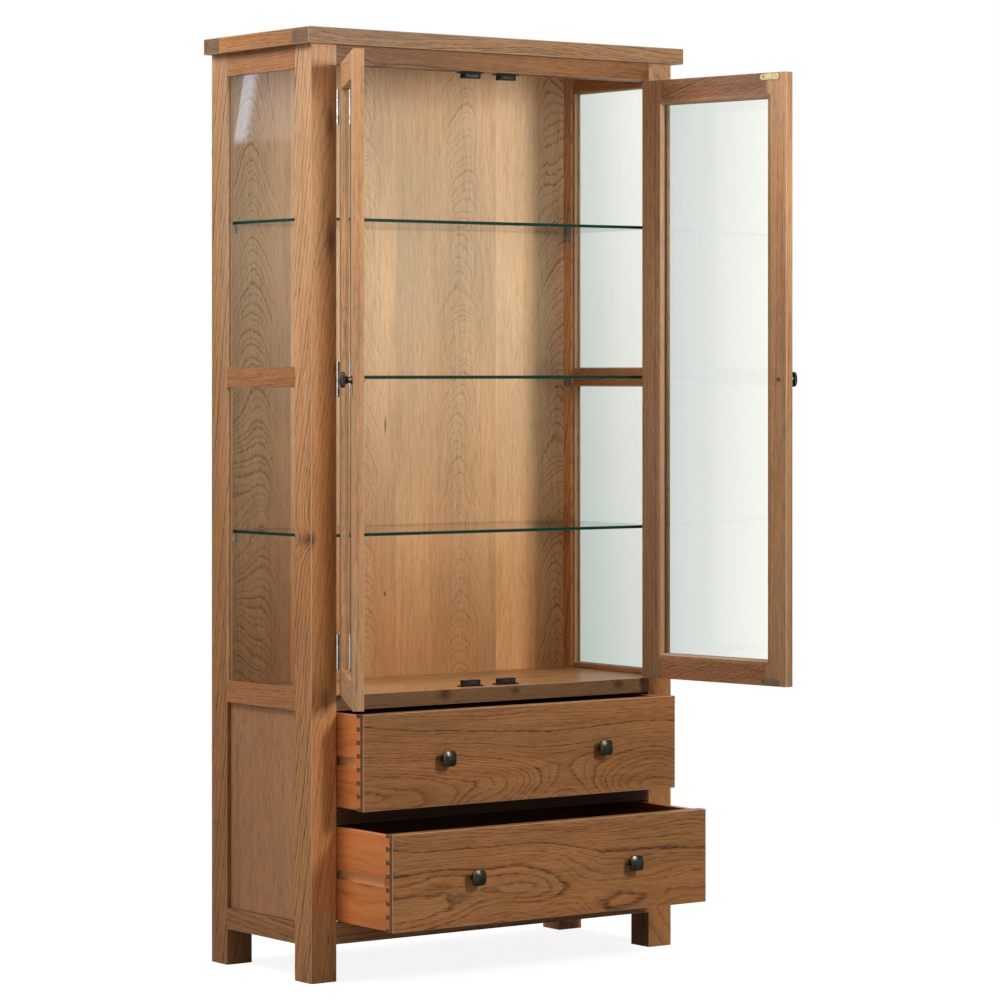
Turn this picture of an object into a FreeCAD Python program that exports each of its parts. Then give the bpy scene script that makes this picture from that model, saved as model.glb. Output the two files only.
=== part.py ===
import FreeCAD, Part
import os

# A glazed display cabinet with two doors and two drawers, in millimetres.
# X runs to the right, Y runs from the front to the back, Z runs up.
# The origin is on the floor, under the middle of the carcass.
# At rest the doors stand open and the drawers are pulled out part of the way.

Vector = FreeCAD.Vector

# Overall size
cabinet_height = 1800.0
carcass_width = 864.0
carcass_depth = 355.0
top_thickness = 31.0
top_overhang = 18.0
top_lipping_width = 57.0
top_rounding = 2.0

# Corner legs, L-shaped beside the display space and square below it
leg_size = 57.0
leg_flange = 21.0
leg_rounding = 2.0
leg_easing = 0.8

# Rails, named by where they lie, with their heights
foot_height = 70.0
bottom_rail_height = 40.0
divider_height = 30.0
divider_depth = 57.0
drawer_opening_height = 185.5
deck_thickness = 29.0
lower_rail_height = 41.0
middle_rail_height = 39.0
rail_easing = 1.0
side_top_rail_height = 44.0
header_height = 35.0
header_depth = 45.0
back_rail_height = 44.0

# Joints between rails and legs
tenon_length = 20.0
tenon_thickness = 9.0
tenon_shoulder = 10.0
mortise_gap = 0.1

# Panels
side_panel_thickness = 9.0
side_panel_recess = 8.0
panel_groove_depth = 6.0
panel_gap = 0.15
panel_edge_bevel = 1.5
back_panel_thickness = 4.0

# Glazing of the sides
side_glass_recess = 6.0
glass_thickness = 4.0
side_rebate_width = 8.0
side_bead_depth = 6.0
bead_slope = 2.0
glass_edge_gap = 1.0

# Glass shelves and their supports
shelf_thickness = 6.0
shelf_side_gap = 1.0
shelf_front_gap = 24.0
shelf_back_gap = 2.0
shelf_edge_rounding = 1.0
first_shelf_height = 298.0
last_shelf_drop = 296.0
shelf_count = 3
support_reach = 10.0
support_width = 10.0
support_height = 17.0
support_pin_radius = 2.5
support_pin_length = 11.0
support_pin_drop = 4.0
support_front_inset = 43.0
support_back_inset = 43.0
support_rounding = 1.0
pin_hole_depth = 12.0
pin_hole_gap = 0.05
pin_hole_spacing = 50.0

# Doors
door_thickness = 20.0
door_frame_width = 50.0
door_hinge_gap = 2.0
door_meeting_gap = 3.0
door_end_gap = 2.5
door_rounding = 1.5
door_tenon_length = 25.0
door_tenon_thickness = 8.0
door_lip = 7.0
door_rebate_width = 10.0
door_bead_slope = 4.0
left_door_angle = 120.0
right_door_angle = 100.0

# Butt hinges
hinge_height = 65.0
hinge_end_inset = 80.5
knuckle_radius = 3.5
hinge_play = 0.3
hinge_pin_radius = 1.5
hinge_pin_gap = 0.05
hinge_pin_head_radius = 2.3
hinge_pin_head_height = 1.2
knuckle_end_share = 0.25
leaf_thickness = 1.5
leaf_recess = 1.0
leaf_reach = 16.0
hinge_screw_spacing = 21.0
hinge_screw_inset = 9.0

# Wood screws with countersunk heads
screw_head_radius = 3.0
screw_head_height = 1.6
screw_shank_radius = 1.4
screw_gap = 0.05
hinge_screw_length = 14.0
plate_screw_length = 12.0
runner_screw_length = 22.0
top_screw_length = 48.0

# Magnetic catches and the strike plates that meet them
catch_offset = 42.5
catch_door_gap = 0.5
catch_base_width = 52.0
catch_base_depth = 18.0
catch_base_thickness = 2.5
catch_body_width = 37.0
catch_body_depth = 16.0
catch_body_height = 10.0
catch_rounding = 1.0
magnet_width = 28.0
magnet_depth = 12.0
magnet_height = 5.0
magnet_gap = 0.1
strike_length = 48.0
strike_height = 12.0
strike_thickness = 1.5
strike_edge_inset = 2.0
strike_screw_spacing = 32.0

# Knobs
knob_size = 29.0
knob_corner_radius = 6.0
knob_projection = 24.0
knob_head_depth = 10.0
knob_dome = 3.5
knob_edge_rounding = 0.8
knob_stem_radius = 6.5
knob_waist_radius = 5.5
knob_flare_radius = 10.0
knob_foot_radius = 8.0
knob_foot_height = 2.0
knob_bore_depth = 12.0
knob_screw_radius = 2.0
knob_screw_head_radius = 4.0
knob_screw_head_height = 2.5
door_knob_inset = 20.0
drawer_knob_share = 0.25

# Drawers
drawer_side_gap = 2.0
drawer_bottom_gap = 1.5
drawer_top_gap = 2.0
drawer_front_thickness = 22.0
drawer_front_rounding = 1.5
drawer_lap = 10.0
drawer_side_thickness = 15.0
drawer_side_drop = 2.5
drawer_length = 320.0
drawer_back_thickness = 12.0
drawer_back_inset = 8.0
drawer_back_drop = 12.0
drawer_back_housing = 4.0
drawer_bottom_thickness = 5.0
drawer_bottom_inset = 10.0
drawer_bottom_groove = 6.0
tail_count = 7
dovetail_pin_height = 10.0
dovetail_flare = 1.5
groove_height = 18.0
groove_depth = 9.0
groove_stop = 17.0
runner_height = 17.0
runner_reach = 8.0
runner_rest_gap = 0.3
runner_front_gap = 2.0
runner_back_gap = 2.0
runner_rounding = 1.0
runner_screw_inset = 14.0
upper_drawer_pull = 87.0
lower_drawer_pull = 184.0

# Extra length of a cutting shape where it must pass right through
overrun = 1.0

# The share of an edge's length that lies along an axis when the two are parallel
parallel_share = 0.999999

# Levels and planes that follow from the sizes above
half_width = carcass_width / 2
front = -carcass_depth / 2
back = carcass_depth / 2
carcass_top = cabinet_height - top_thickness
opening_half = half_width - leg_size
inner_half = half_width - leg_flange
bottom_rail_top = foot_height + bottom_rail_height
divider_bottom = bottom_rail_top + drawer_opening_height
divider_top = divider_bottom + divider_height
deck_bottom = divider_top + drawer_opening_height
deck_top = deck_bottom + deck_thickness
lower_rail_top = deck_bottom + lower_rail_height
side_top_rail_bottom = carcass_top - side_top_rail_height
header_bottom = carcass_top - header_height
back_flange_front = back - leg_flange
back_panel_front = back_flange_front - back_panel_thickness
leg_back_of_front = front + leg_size
leg_front_of_back = back - leg_size

door_bottom = deck_top + door_end_gap
door_top = header_bottom - door_end_gap
door_middle = (door_bottom + door_top) / 2
door_width = opening_half - door_hinge_gap - door_meeting_gap / 2
door_back = front + door_thickness
pin_x = -opening_half
pin_y = front - knuckle_radius - hinge_play
hinge_levels = [
    door_bottom + hinge_end_inset,
    door_middle,
    door_top - hinge_end_inset,
]

first_shelf_level = deck_top + first_shelf_height
last_shelf_level = header_bottom - last_shelf_drop
shelf_spacing = (last_shelf_level - first_shelf_level) / (shelf_count - 1)
shelf_bottoms = [first_shelf_level + step * shelf_spacing for step in range(shelf_count)]
support_places = [front + support_front_inset, back - support_back_inset]

# The middle rail of each side lies level with the middle of the shelves
middle_rail_centre = (first_shelf_level + last_shelf_level + shelf_thickness) / 2
middle_rail_bottom = middle_rail_centre - middle_rail_height / 2
middle_rail_top = middle_rail_centre + middle_rail_height / 2

drawer_height = drawer_opening_height - drawer_bottom_gap - drawer_top_gap
drawer_half = opening_half - drawer_side_gap
drawer_side_height = drawer_height - 2 * drawer_side_drop


def block(x_low, x_high, y_low, y_high, z_low, z_high):
    """A box given by its limits along the three axes."""
    corner = Vector(x_low, y_low, z_low)
    return Part.makeBox(x_high - x_low, y_high - y_low, z_high - z_low, corner)


def grown(limits, gap):
    """The limits of a box, moved outward by a gap on every side."""
    signs = [-1, 1] * 3
    return [limit + sign * gap for limit, sign in zip(limits, signs)]


def round_rod(radius, start, direction, length):
    """A cylinder that starts at a point and runs along a direction."""
    return Part.makeCylinder(radius, length, start, direction)


def mirrored(shape):
    """The same piece on the other side of the cabinet."""
    return shape.mirror(Vector(0, 0, 0), Vector(1, 0, 0))


def both_sides(shapes):
    """The given pieces and their mirror images."""
    return shapes + [mirrored(shape) for shape in shapes]


def prism(points, direction):
    """A solid made by moving a flat outline along a direction."""
    outline = Part.makePolygon(points + points[:1])
    return Part.Face(outline).extrude(direction)


def edges_along(shape, axis, is_wanted):
    """The straight edges of a shape along one axis whose middle is wanted."""
    chosen = []
    for edge in shape.Edges:
        run = edge.Vertexes[-1].Point - edge.Vertexes[0].Point
        if run.Length == 0:
            continue
        if abs(run.normalize().dot(axis)) > parallel_share and is_wanted(edge.CenterOfMass):
            chosen.append(edge)
    return chosen


def wood_screw(point, direction, length, gap):
    """A countersunk screw whose head is flush at a point; a gap makes its hole."""
    head = Part.makeCone(
        screw_head_radius + gap,
        screw_shank_radius + gap,
        screw_head_height,
        point,
        direction,
    )
    shank = round_rod(screw_shank_radius + gap, point, direction, length + gap)
    return head.fuse(shank).removeSplitter()


def screws_at(points, direction, length):
    """A row of equal screws."""
    return [wood_screw(point, direction, length, 0) for point in points]


def drilled(shape, points, direction, length):
    """A shape with the holes of a row of screws."""
    holes = [wood_screw(point, direction, length, screw_gap) for point in points]
    return shape.cut(holes)


# Places of the rails

def tenon_span(low, high):
    """The height that a tenon takes of a rail between two levels."""
    return low + tenon_shoulder, high - tenon_shoulder


def side_rail_levels():
    """The lower and upper level of each rail on a side, from the bottom up."""
    return {
        "bottom": (foot_height, bottom_rail_top),
        "lower": (deck_bottom, lower_rail_top),
        "middle": (middle_rail_bottom, middle_rail_top),
        "top": (side_top_rail_bottom, carcass_top),
    }


def tenon_limits_x(low, high, y_middle):
    """Limits of the tenons of a rail that runs from left to right."""
    z_low, z_high = tenon_span(low, high)
    reach = opening_half + tenon_length
    half = tenon_thickness / 2
    return [-reach, reach, y_middle - half, y_middle + half, z_low, z_high]


def tenon_limits_y(low, high):
    """Limits of the tenons of a left side rail that runs from front to back."""
    z_low, z_high = tenon_span(low, high)
    x_middle = -half_width + leg_flange / 2
    half = tenon_thickness / 2
    y_low = leg_back_of_front - tenon_length
    y_high = leg_front_of_back + tenon_length
    return [x_middle - half, x_middle + half, y_low, y_high, z_low, z_high]


def front_tenon_levels():
    """Levels of the rails that are tenoned into the front legs."""
    return [
        (foot_height, bottom_rail_top),
        (divider_bottom, divider_top),
        (header_bottom, carcass_top),
    ]


def back_rail_levels():
    """Levels of the rails between the back legs, from the bottom up."""
    return [
        (foot_height, bottom_rail_top),
        (deck_top - back_rail_height, deck_top),
        (carcass_top - back_rail_height, carcass_top),
    ]


front_tenon_y = front + leg_flange / 2
back_tenon_y = back - leg_flange / 2


# Places of the side windows and panels

def window_levels():
    """Lower and upper level of each pane's visible opening."""
    return [(lower_rail_top, middle_rail_bottom), (middle_rail_top, side_top_rail_bottom)]


def window_rebate_limits(low, high, gap):
    """Limits of the left rebate that holds a pane and its beads."""
    edge = side_rebate_width - gap
    x_low = -half_width + side_glass_recess
    y_low = leg_back_of_front - edge
    y_high = leg_front_of_back + edge
    return [x_low, -inner_half, y_low, y_high, low - edge, high + edge]


def side_panel_limits(depth):
    """Limits of the left lower panel with its edges a depth into the grooves."""
    x_low = -half_width + side_panel_recess
    return [
        x_low,
        x_low + side_panel_thickness,
        leg_back_of_front - depth,
        leg_front_of_back + depth,
        bottom_rail_top - depth,
        deck_bottom + depth,
    ]


def lower_back_limits(depth):
    """Limits of the lower back panel with its ends a depth into the legs."""
    reach = opening_half + depth
    return [-reach, reach, back_panel_front, back_flange_front, foot_height, deck_bottom]


def cut_window_rebates(shape):
    """Cut the rebates of both left windows from a shape."""
    for low, high in window_levels():
        limits = window_rebate_limits(low, high, 0)
        limits[1] += overrun
        shape = shape.cut(block(*limits))
    return shape


# Corner legs

def pin_hole_levels():
    """Heights of the support holes: one in use and a spare above and below it."""
    levels = []
    for shelf_bottom in shelf_bottoms:
        middle = shelf_bottom - support_pin_drop
        for step in [-1, 0, 1]:
            levels.append(middle + step * pin_hole_spacing)
    return levels


def plain_leg(y_outer, y_sign):
    """A left leg: square below the deck, L-shaped above it, with eased outer arrises."""
    y_inner = y_outer + y_sign * leg_size
    y_low = min(y_outer, y_inner)
    y_high = max(y_outer, y_inner)
    leg = block(-half_width, -opening_half, y_low, y_high, 0, carcass_top)
    places = {
        (-half_width, y_outer): leg_rounding,
        (-half_width, y_inner): leg_easing,
        (-opening_half, y_outer): leg_easing,
    }
    for (x_place, y_place), radius in places.items():
        corner = Vector(x_place, y_place, carcass_top / 2)
        arris = edges_along(leg, Vector(0, 0, 1), lambda middle: middle.isEqual(corner, overrun))
        leg = leg.makeFillet(radius, arris)
    hollow_y = sorted([y_outer + y_sign * leg_flange, y_inner + y_sign * overrun])
    hollow = block(
        -inner_half,
        -opening_half + overrun,
        hollow_y[0],
        hollow_y[1],
        deck_bottom,
        carcass_top + overrun,
    )
    return leg.cut(hollow)


def drill_pin_holes(shape, y_place):
    """Drill the support holes from the inner face of a left leg."""
    holes = []
    for level in pin_hole_levels():
        mouth = Vector(-inner_half + overrun, y_place, level)
        length = pin_hole_depth + overrun
        radius = support_pin_radius + pin_hole_gap
        holes.append(round_rod(radius, mouth, Vector(-1, 0, 0), length))
    return shape.cut(holes)


def mortised_leg(leg, rail_levels, y_middle):
    """Cut the mortises, grooves and rebates that every left leg has."""
    for low, high in rail_levels:
        leg = leg.cut(block(*grown(tenon_limits_x(low, high, y_middle), mortise_gap)))
    for low, high in side_rail_levels().values():
        leg = leg.cut(block(*grown(tenon_limits_y(low, high), mortise_gap)))
    leg = cut_window_rebates(leg)
    return leg.cut(block(*grown(side_panel_limits(panel_groove_depth), panel_gap)))


def front_leg():
    """The left front leg, let in for its hinges and drilled for their screws."""
    leg = plain_leg(front, 1)
    leg = mortised_leg(leg, front_tenon_levels(), front_tenon_y)
    leg = drill_pin_holes(leg, support_places[0])
    for level in hinge_levels:
        leg = leg.cut(leaf_plate(-leaf_recess, level, -overrun))
    leg = drilled(leg, frame_screw_points(), Vector(-1, 0, 0), hinge_screw_length)
    return drilled(leg, runner_screw_points()[0], Vector(-1, 0, 0), runner_screw_length)


def back_leg():
    """The left back leg, grooved for the lower back panel."""
    leg = plain_leg(back, -1)
    leg = mortised_leg(leg, back_rail_levels(), back_tenon_y)
    leg = drill_pin_holes(leg, support_places[1])
    leg = leg.cut(block(*grown(lower_back_limits(panel_groove_depth), panel_gap)))
    return drilled(leg, runner_screw_points()[1], Vector(-1, 0, 0), runner_screw_length)


# Rails

def side_rail(name):
    """A left side rail with a tenon at each end, drilled where a support pin meets it."""
    low, high = side_rail_levels()[name]
    x_low = -half_width
    rail = block(x_low, -inner_half, leg_back_of_front, leg_front_of_back, low, high)
    rail = rail.fuse(block(*tenon_limits_y(low, high))).removeSplitter()
    rail = cut_window_rebates(rail)
    for y_place in support_places:
        rail = drill_pin_holes(rail, y_place)
    return rail.cut(block(*grown(side_panel_limits(panel_groove_depth), panel_gap)))


def eased_front(board):
    """A board with its long front arrises eased."""
    y_front = board.BoundBox.YMin
    arrises = edges_along(board, Vector(1, 0, 0), lambda middle: middle.y < y_front + overrun)
    return board.makeFillet(rail_easing, arrises)


def cross_rail(low, high, y_low, y_high, y_middle):
    """A rail from left to right with a tenon at each end."""
    rail = eased_front(block(-opening_half, opening_half, y_low, y_high, low, high))
    return rail.fuse(block(*tenon_limits_x(low, high, y_middle))).removeSplitter()


def header():
    """The front top rail, deep enough to carry the catches."""
    rail = cross_rail(header_bottom, carcass_top, front, front + header_depth, front_tenon_y)
    points = both_points(catch_screw_points(header_bottom))
    rail = drilled(rail, points, Vector(0, 0, 1), plate_screw_length)
    return drilled(rail, top_screw_points()[0], Vector(0, 0, 1), top_screw_length)


def back_rail(low, high):
    """A rail between the back legs."""
    rail = cross_rail(low, high, back_flange_front, back, back_tenon_y)
    if high == carcass_top:
        rail = drilled(rail, top_screw_points()[1], Vector(0, 0, 1), top_screw_length)
    return rail


def deck():
    """The floor of the display space, notched round the front legs."""
    board = block(-inner_half, inner_half, front, back_flange_front, deck_bottom, deck_top)
    board = eased_front(board)
    notch = block(
        -inner_half - overrun,
        -opening_half,
        front - overrun,
        front + leg_flange,
        deck_bottom - overrun,
        deck_top + overrun,
    )
    board = board.cut(both_sides([notch]))
    points = both_points(catch_screw_points(deck_top))
    return drilled(board, points, Vector(0, 0, -1), plate_screw_length)


# Panels, panes and beads

def side_panel():
    """The left lower panel, bevelled where it meets its frame."""
    panel = block(*side_panel_limits(panel_groove_depth))
    x_low, _, y_low, y_high, z_low, z_high = side_panel_limits(0)
    face = [
        Vector(x_low, y_low, z_low),
        Vector(x_low, y_high, z_low),
        Vector(x_low, y_high, z_high),
        Vector(x_low, y_low, z_high),
    ]
    groove = Vector(panel_edge_bevel, 0, 0)
    outer = prism(face, groove)
    inset = panel_edge_bevel
    inner = block(
        x_low - overrun,
        x_low + panel_edge_bevel + overrun,
        y_low + inset,
        y_high - inset,
        z_low + inset,
        z_high - inset,
    )
    return panel.cut(outer.cut(inner))


def upper_back_panel():
    """The back of the display space, standing on the deck behind the shelves."""
    return block(
        -inner_half, inner_half, back_panel_front, back_flange_front, deck_top, carcass_top
    )


def window_pane(low, high):
    """A left pane, a little smaller than its rebate."""
    limits = window_rebate_limits(low, high, glass_edge_gap)
    limits[1] = limits[0] + glass_thickness
    return block(*limits)


def bead_frame(width, height, bead_width, depth, slope):
    """Four mitred beads round an opening centred on the origin, in the XZ plane.

    The back of the beads is at Y zero and they stand out along -Y, where their inner edge
    slopes back.
    """
    half_x = width / 2
    half_z = height / 2
    outer = [
        Vector(-half_x - bead_width, 0, -half_z - bead_width),
        Vector(half_x + bead_width, 0, -half_z - bead_width),
        Vector(half_x + bead_width, 0, half_z + bead_width),
        Vector(-half_x - bead_width, 0, half_z + bead_width),
    ]
    inner = [
        Vector(-half_x, 0, -half_z),
        Vector(half_x, 0, -half_z),
        Vector(half_x, 0, half_z),
        Vector(-half_x, 0, half_z),
    ]
    eased = [
        Vector(-half_x - slope, -depth, -half_z - slope),
        Vector(half_x + slope, -depth, -half_z - slope),
        Vector(half_x + slope, -depth, half_z + slope),
        Vector(-half_x - slope, -depth, half_z + slope),
    ]
    rise = Vector(0, -depth, 0)
    beads = []
    for start in range(4):
        end = (start + 1) % 4
        base = [outer[start], outer[end], inner[end], inner[start]]
        crown = [outer[start] + rise, outer[end] + rise, eased[end], eased[start]]
        faces = [Part.makePolygon(points + points[:1]) for points in (base, crown)]
        beads.append(Part.makeLoft(faces, True, True))
    return beads


def window_beads(low, high):
    """The beads that hold a left pane, seen from inside the cabinet."""
    width = leg_front_of_back - leg_back_of_front
    beads = bead_frame(width, high - low, side_rebate_width, side_bead_depth, bead_slope)
    glass_inside = -half_width + side_glass_recess + glass_thickness
    place = Vector(glass_inside, 0, (low + high) / 2)
    for bead in beads:
        bead.rotate(Vector(0, 0, 0), Vector(0, 0, 1), 90)
        bead.translate(place)
    return beads


# Top

def top_board():
    """The whole top with its rounded edges, before it is divided."""
    reach = half_width + top_overhang
    board = block(-reach, reach, front - top_overhang, back, carcass_top, cabinet_height)
    return board.makeFillet(top_rounding, board.Edges)


def top_piece(x_low, x_high, y_low, y_high):
    """The part of the top between the given limits."""
    limits = [x_low, x_high, y_low, y_high, carcass_top - overrun, cabinet_height + overrun]
    return top_board().common(block(*limits))


def top_pieces():
    """The lippings and the centre panel of the top."""
    reach = half_width + top_overhang
    far = reach + overrun
    y_front = front - top_overhang
    y_inner_front = y_front + top_lipping_width
    y_inner_back = back - top_lipping_width
    x_inner = reach - top_lipping_width
    panel = top_piece(-x_inner, x_inner, y_inner_front, y_inner_back)
    side = top_piece(-far, -x_inner, y_inner_front, y_inner_back)
    front_lipping = top_piece(-far, far, y_front - overrun, y_inner_front)
    back_lipping = top_piece(-far, far, y_inner_back, back + overrun)
    front_points, back_points = top_screw_points()
    up = Vector(0, 0, 1)
    return {
        "top_front_lipping": [drilled(front_lipping, front_points, up, top_screw_length)],
        "top_back_lipping": [drilled(back_lipping, back_points, up, top_screw_length)],
        "top_side_lippings": both_sides([side]),
        "top_centre_panel": [panel],
    }


def top_screw_points():
    """Head points of the screws up into the top, at the header and the back rail."""
    x_places = [-opening_half / 2, 0, opening_half / 2]
    y_header = front + leg_flange / 2
    y_back = back - leg_flange / 2
    front_points = [Vector(x, y_header, header_bottom) for x in x_places]
    back_points = [Vector(x, y_back, carcass_top - back_rail_height) for x in x_places]
    return front_points, back_points


# Shelves

def glass_shelf(shelf_bottom):
    """A glass shelf with polished edges."""
    reach = inner_half - shelf_side_gap
    shelf = block(
        -reach,
        reach,
        front + shelf_front_gap,
        back_panel_front - shelf_back_gap,
        shelf_bottom,
        shelf_bottom + shelf_thickness,
    )
    return shelf.makeFillet(shelf_edge_rounding, shelf.Edges)


def shelf_support(y_place, shelf_bottom):
    """A left shelf support: a block under the glass and a pin in the leg."""
    body = block(
        -inner_half,
        -inner_half + support_reach,
        y_place - support_width / 2,
        y_place + support_width / 2,
        shelf_bottom - support_height,
        shelf_bottom,
    )
    nose_x = -inner_half + support_reach
    nose = edges_along(body, Vector(0, 1, 0), lambda middle: middle.x > nose_x - overrun)
    body = body.makeFillet(support_rounding, nose)
    start = Vector(-inner_half, y_place, shelf_bottom - support_pin_drop)
    pin = round_rod(support_pin_radius, start, Vector(-1, 0, 0), support_pin_length)
    return body.fuse(pin)


def shelf_supports():
    """Four supports under each shelf."""
    supports = []
    for shelf_bottom in shelf_bottoms:
        for y_place in support_places:
            supports.append(shelf_support(y_place, shelf_bottom))
    return both_sides(supports)


# Hinges, all built for the left door while it is closed

def leaf_plate(x_offset, level, margin):
    """The flat part of a leaf; a negative margin leaves room to cut its recess."""
    x_low = pin_x + x_offset
    half = hinge_height / 2
    return block(
        x_low,
        x_low + leaf_thickness,
        pin_y + margin,
        front + leaf_reach,
        level - half,
        level + half,
    )


def knuckle_spans(level):
    """The middle knuckle and the two end knuckles of a hinge, as spans of height."""
    low = level - hinge_height / 2
    high = level + hinge_height / 2
    end = hinge_height * knuckle_end_share
    middle = (low + end, high - end)
    ends = [(low, low + end - hinge_play), (high - end + hinge_play, high)]
    return middle, ends


def knuckle(span, radius):
    """A stretch of the hinge barrel, or of the room round it."""
    start = Vector(pin_x, pin_y, span[0])
    return round_rod(radius, start, Vector(0, 0, 1), span[1] - span[0])


def hinge_leaf(x_offset, level, own_spans, other_spans):
    """A leaf with its own knuckles, cut clear of the other leaf's."""
    leaf = leaf_plate(x_offset, level, 0)
    room = [
        knuckle((span[0] - hinge_play, span[1] + hinge_play), knuckle_radius + hinge_play)
        for span in other_spans
    ]
    leaf = leaf.cut(room)
    leaf = leaf.fuse([knuckle(span, knuckle_radius) for span in own_spans])
    bore_span = (level - hinge_height, level + hinge_height)
    return leaf.cut(knuckle(bore_span, hinge_pin_radius + hinge_pin_gap))


def leaf_screw_points(x_place):
    """Head points of the screws of all three leaves in one plane."""
    points = []
    for level in hinge_levels:
        for step in [-1, 0, 1]:
            height = level + step * hinge_screw_spacing
            points.append(Vector(x_place, front + hinge_screw_inset, height))
    return points


def frame_screw_points():
    """Head points of the screws that hold the frame leaves to the left leg."""
    return leaf_screw_points(pin_x - leaf_recess + leaf_thickness)


def door_screw_points():
    """Head points of the screws that hold the door leaves."""
    return leaf_screw_points(pin_x + door_leaf_offset)


door_leaf_offset = door_hinge_gap + leaf_recess - leaf_thickness


def frame_leaves():
    """The three left leaves on the leg, which have the end knuckles."""
    leaves = []
    for level in hinge_levels:
        middle, ends = knuckle_spans(level)
        leaf = hinge_leaf(-leaf_recess, level, ends, [middle])
        points = frame_screw_points()
        leaves.append(drilled(leaf, points, Vector(-1, 0, 0), hinge_screw_length))
    return leaves


def door_leaves():
    """The three leaves on the left door, which have the middle knuckle."""
    leaves = []
    for level in hinge_levels:
        middle, ends = knuckle_spans(level)
        leaf = hinge_leaf(door_leaf_offset, level, [middle], ends)
        points = door_screw_points()
        leaves.append(drilled(leaf, points, Vector(1, 0, 0), hinge_screw_length))
    return leaves


def hinge_pins():
    """The three left pins, each with a small head at both ends."""
    pins = []
    up = Vector(0, 0, 1)
    for level in hinge_levels:
        low = Vector(pin_x, pin_y, level - hinge_height / 2)
        high = Vector(pin_x, pin_y, level + hinge_height / 2)
        shaft = round_rod(hinge_pin_radius, low, up, hinge_height)
        heads = [
            round_rod(hinge_pin_head_radius, high, up, hinge_pin_head_height),
            round_rod(hinge_pin_head_radius, low, -up, hinge_pin_head_height),
        ]
        pins.append(shaft.fuse(heads))
    return pins


# Knobs, built to face the front

def knob(point):
    """A square domed knob on a round stem that stands on a front face at a point."""
    neck = knob_projection - knob_head_depth
    outline = [
        Vector(0, 0, 0),
        Vector(knob_foot_radius, 0, 0),
        Vector(knob_foot_radius, 0, knob_foot_height),
        Vector(knob_stem_radius, 0, knob_foot_height),
        Vector(knob_waist_radius, 0, neck / 2),
        Vector(knob_flare_radius, 0, neck),
        Vector(0, 0, neck),
    ]
    stem = Part.Face(Part.makePolygon(outline + outline[:1]))
    stem = stem.revolve(Vector(0, 0, 0), Vector(0, 0, 1), 360)
    half = knob_size / 2
    head = block(-half, half, -half, half, neck, knob_projection)
    corners = edges_along(head, Vector(0, 0, 1), lambda middle: True)
    head = head.makeFillet(knob_corner_radius, corners)
    dome_radius = (half * half + knob_dome * knob_dome) / (2 * knob_dome)
    centre = Vector(0, 0, knob_projection - dome_radius)
    head = head.common(Part.makeSphere(dome_radius, centre))
    head = head.makeFillet(knob_edge_rounding, head.Edges)
    body = stem.fuse(head).removeSplitter()
    bore = round_rod(
        knob_screw_radius + screw_gap, Vector(0, 0, 0), Vector(0, 0, 1), knob_bore_depth
    )
    body = body.cut(bore)
    body.rotate(Vector(0, 0, 0), Vector(1, 0, 0), 90)
    body.translate(point)
    return body


def knob_screw(point, thickness, gap):
    """A screw through a front into its knob; a gap makes its hole."""
    outward = Vector(0, -1, 0)
    head_face = point + Vector(0, thickness, 0)
    length = thickness + knob_bore_depth - overrun
    shank = round_rod(knob_screw_radius + gap, head_face, outward, length + gap)
    head = round_rod(knob_screw_head_radius + gap, head_face, -outward, knob_screw_head_height)
    return shank.fuse(head)


# Doors, built as the left door while it is closed

door_left = pin_x + door_hinge_gap
door_right = door_left + door_width
door_glass_left = door_left + door_frame_width
door_glass_right = door_right - door_frame_width
door_glass_bottom = door_bottom + door_frame_width
door_glass_top = door_top - door_frame_width
door_knob_point = Vector(door_right - door_knob_inset, front, door_middle)
strike_x = -catch_offset
strike_levels = [
    door_bottom + strike_edge_inset + strike_height / 2,
    door_top - strike_edge_inset - strike_height / 2,
]


def door_rebate(gap):
    """The room behind the lip of the door frame for the pane and its beads."""
    edge = door_rebate_width - gap
    return [
        door_glass_left - edge,
        door_glass_right + edge,
        front + door_lip,
        door_back,
        door_glass_bottom - edge,
        door_glass_top + edge,
    ]


def cut_door_rebate(shape):
    """Cut the rebate of the pane from a piece of the door frame."""
    limits = door_rebate(0)
    limits[3] += overrun
    return shape.cut(block(*limits))


def door_tenon_limits(low, high):
    """Limits of the tenons of a door rail."""
    middle = front + door_thickness / 2
    half = door_tenon_thickness / 2
    z_low, z_high = tenon_span(low, high)
    x_low = door_glass_left - door_tenon_length
    x_high = door_glass_right + door_tenon_length
    return [x_low, x_high, middle - half, middle + half, z_low, z_high]


door_rail_levels = [(door_bottom, door_glass_bottom), (door_glass_top, door_top)]


def door_stile(x_low, x_high, round_x):
    """A stile of the door, rounded at both arrises of its outer edge."""
    stile = block(x_low, x_high, front, door_back, door_bottom, door_top)
    arrises = edges_along(
        stile, Vector(0, 0, 1), lambda middle: abs(middle.x - round_x) < overrun
    )
    stile = cut_door_rebate(stile.makeFillet(door_rounding, arrises))
    for low, high in door_rail_levels:
        stile = stile.cut(block(*grown(door_tenon_limits(low, high), mortise_gap)))
    return stile


def hinge_stile():
    """The stile that carries the hinge leaves."""
    stile = door_stile(door_left, door_glass_left, door_left)
    for level in hinge_levels:
        stile = stile.cut(leaf_plate(door_leaf_offset, level, -overrun))
    return drilled(stile, door_screw_points(), Vector(1, 0, 0), hinge_screw_length)


def meeting_stile():
    """The stile that carries the knob."""
    stile = door_stile(door_glass_right, door_right, door_right)
    stile = stile.cut(knob_screw(door_knob_point, door_thickness, screw_gap))
    return drill_strikes(stile)


def door_rail(low, high):
    """A rail of the door with a tenon at each end."""
    rail = block(door_glass_left, door_glass_right, front, door_back, low, high)
    rail = rail.fuse(block(*door_tenon_limits(low, high))).removeSplitter()
    return drill_strikes(cut_door_rebate(rail))


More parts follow.
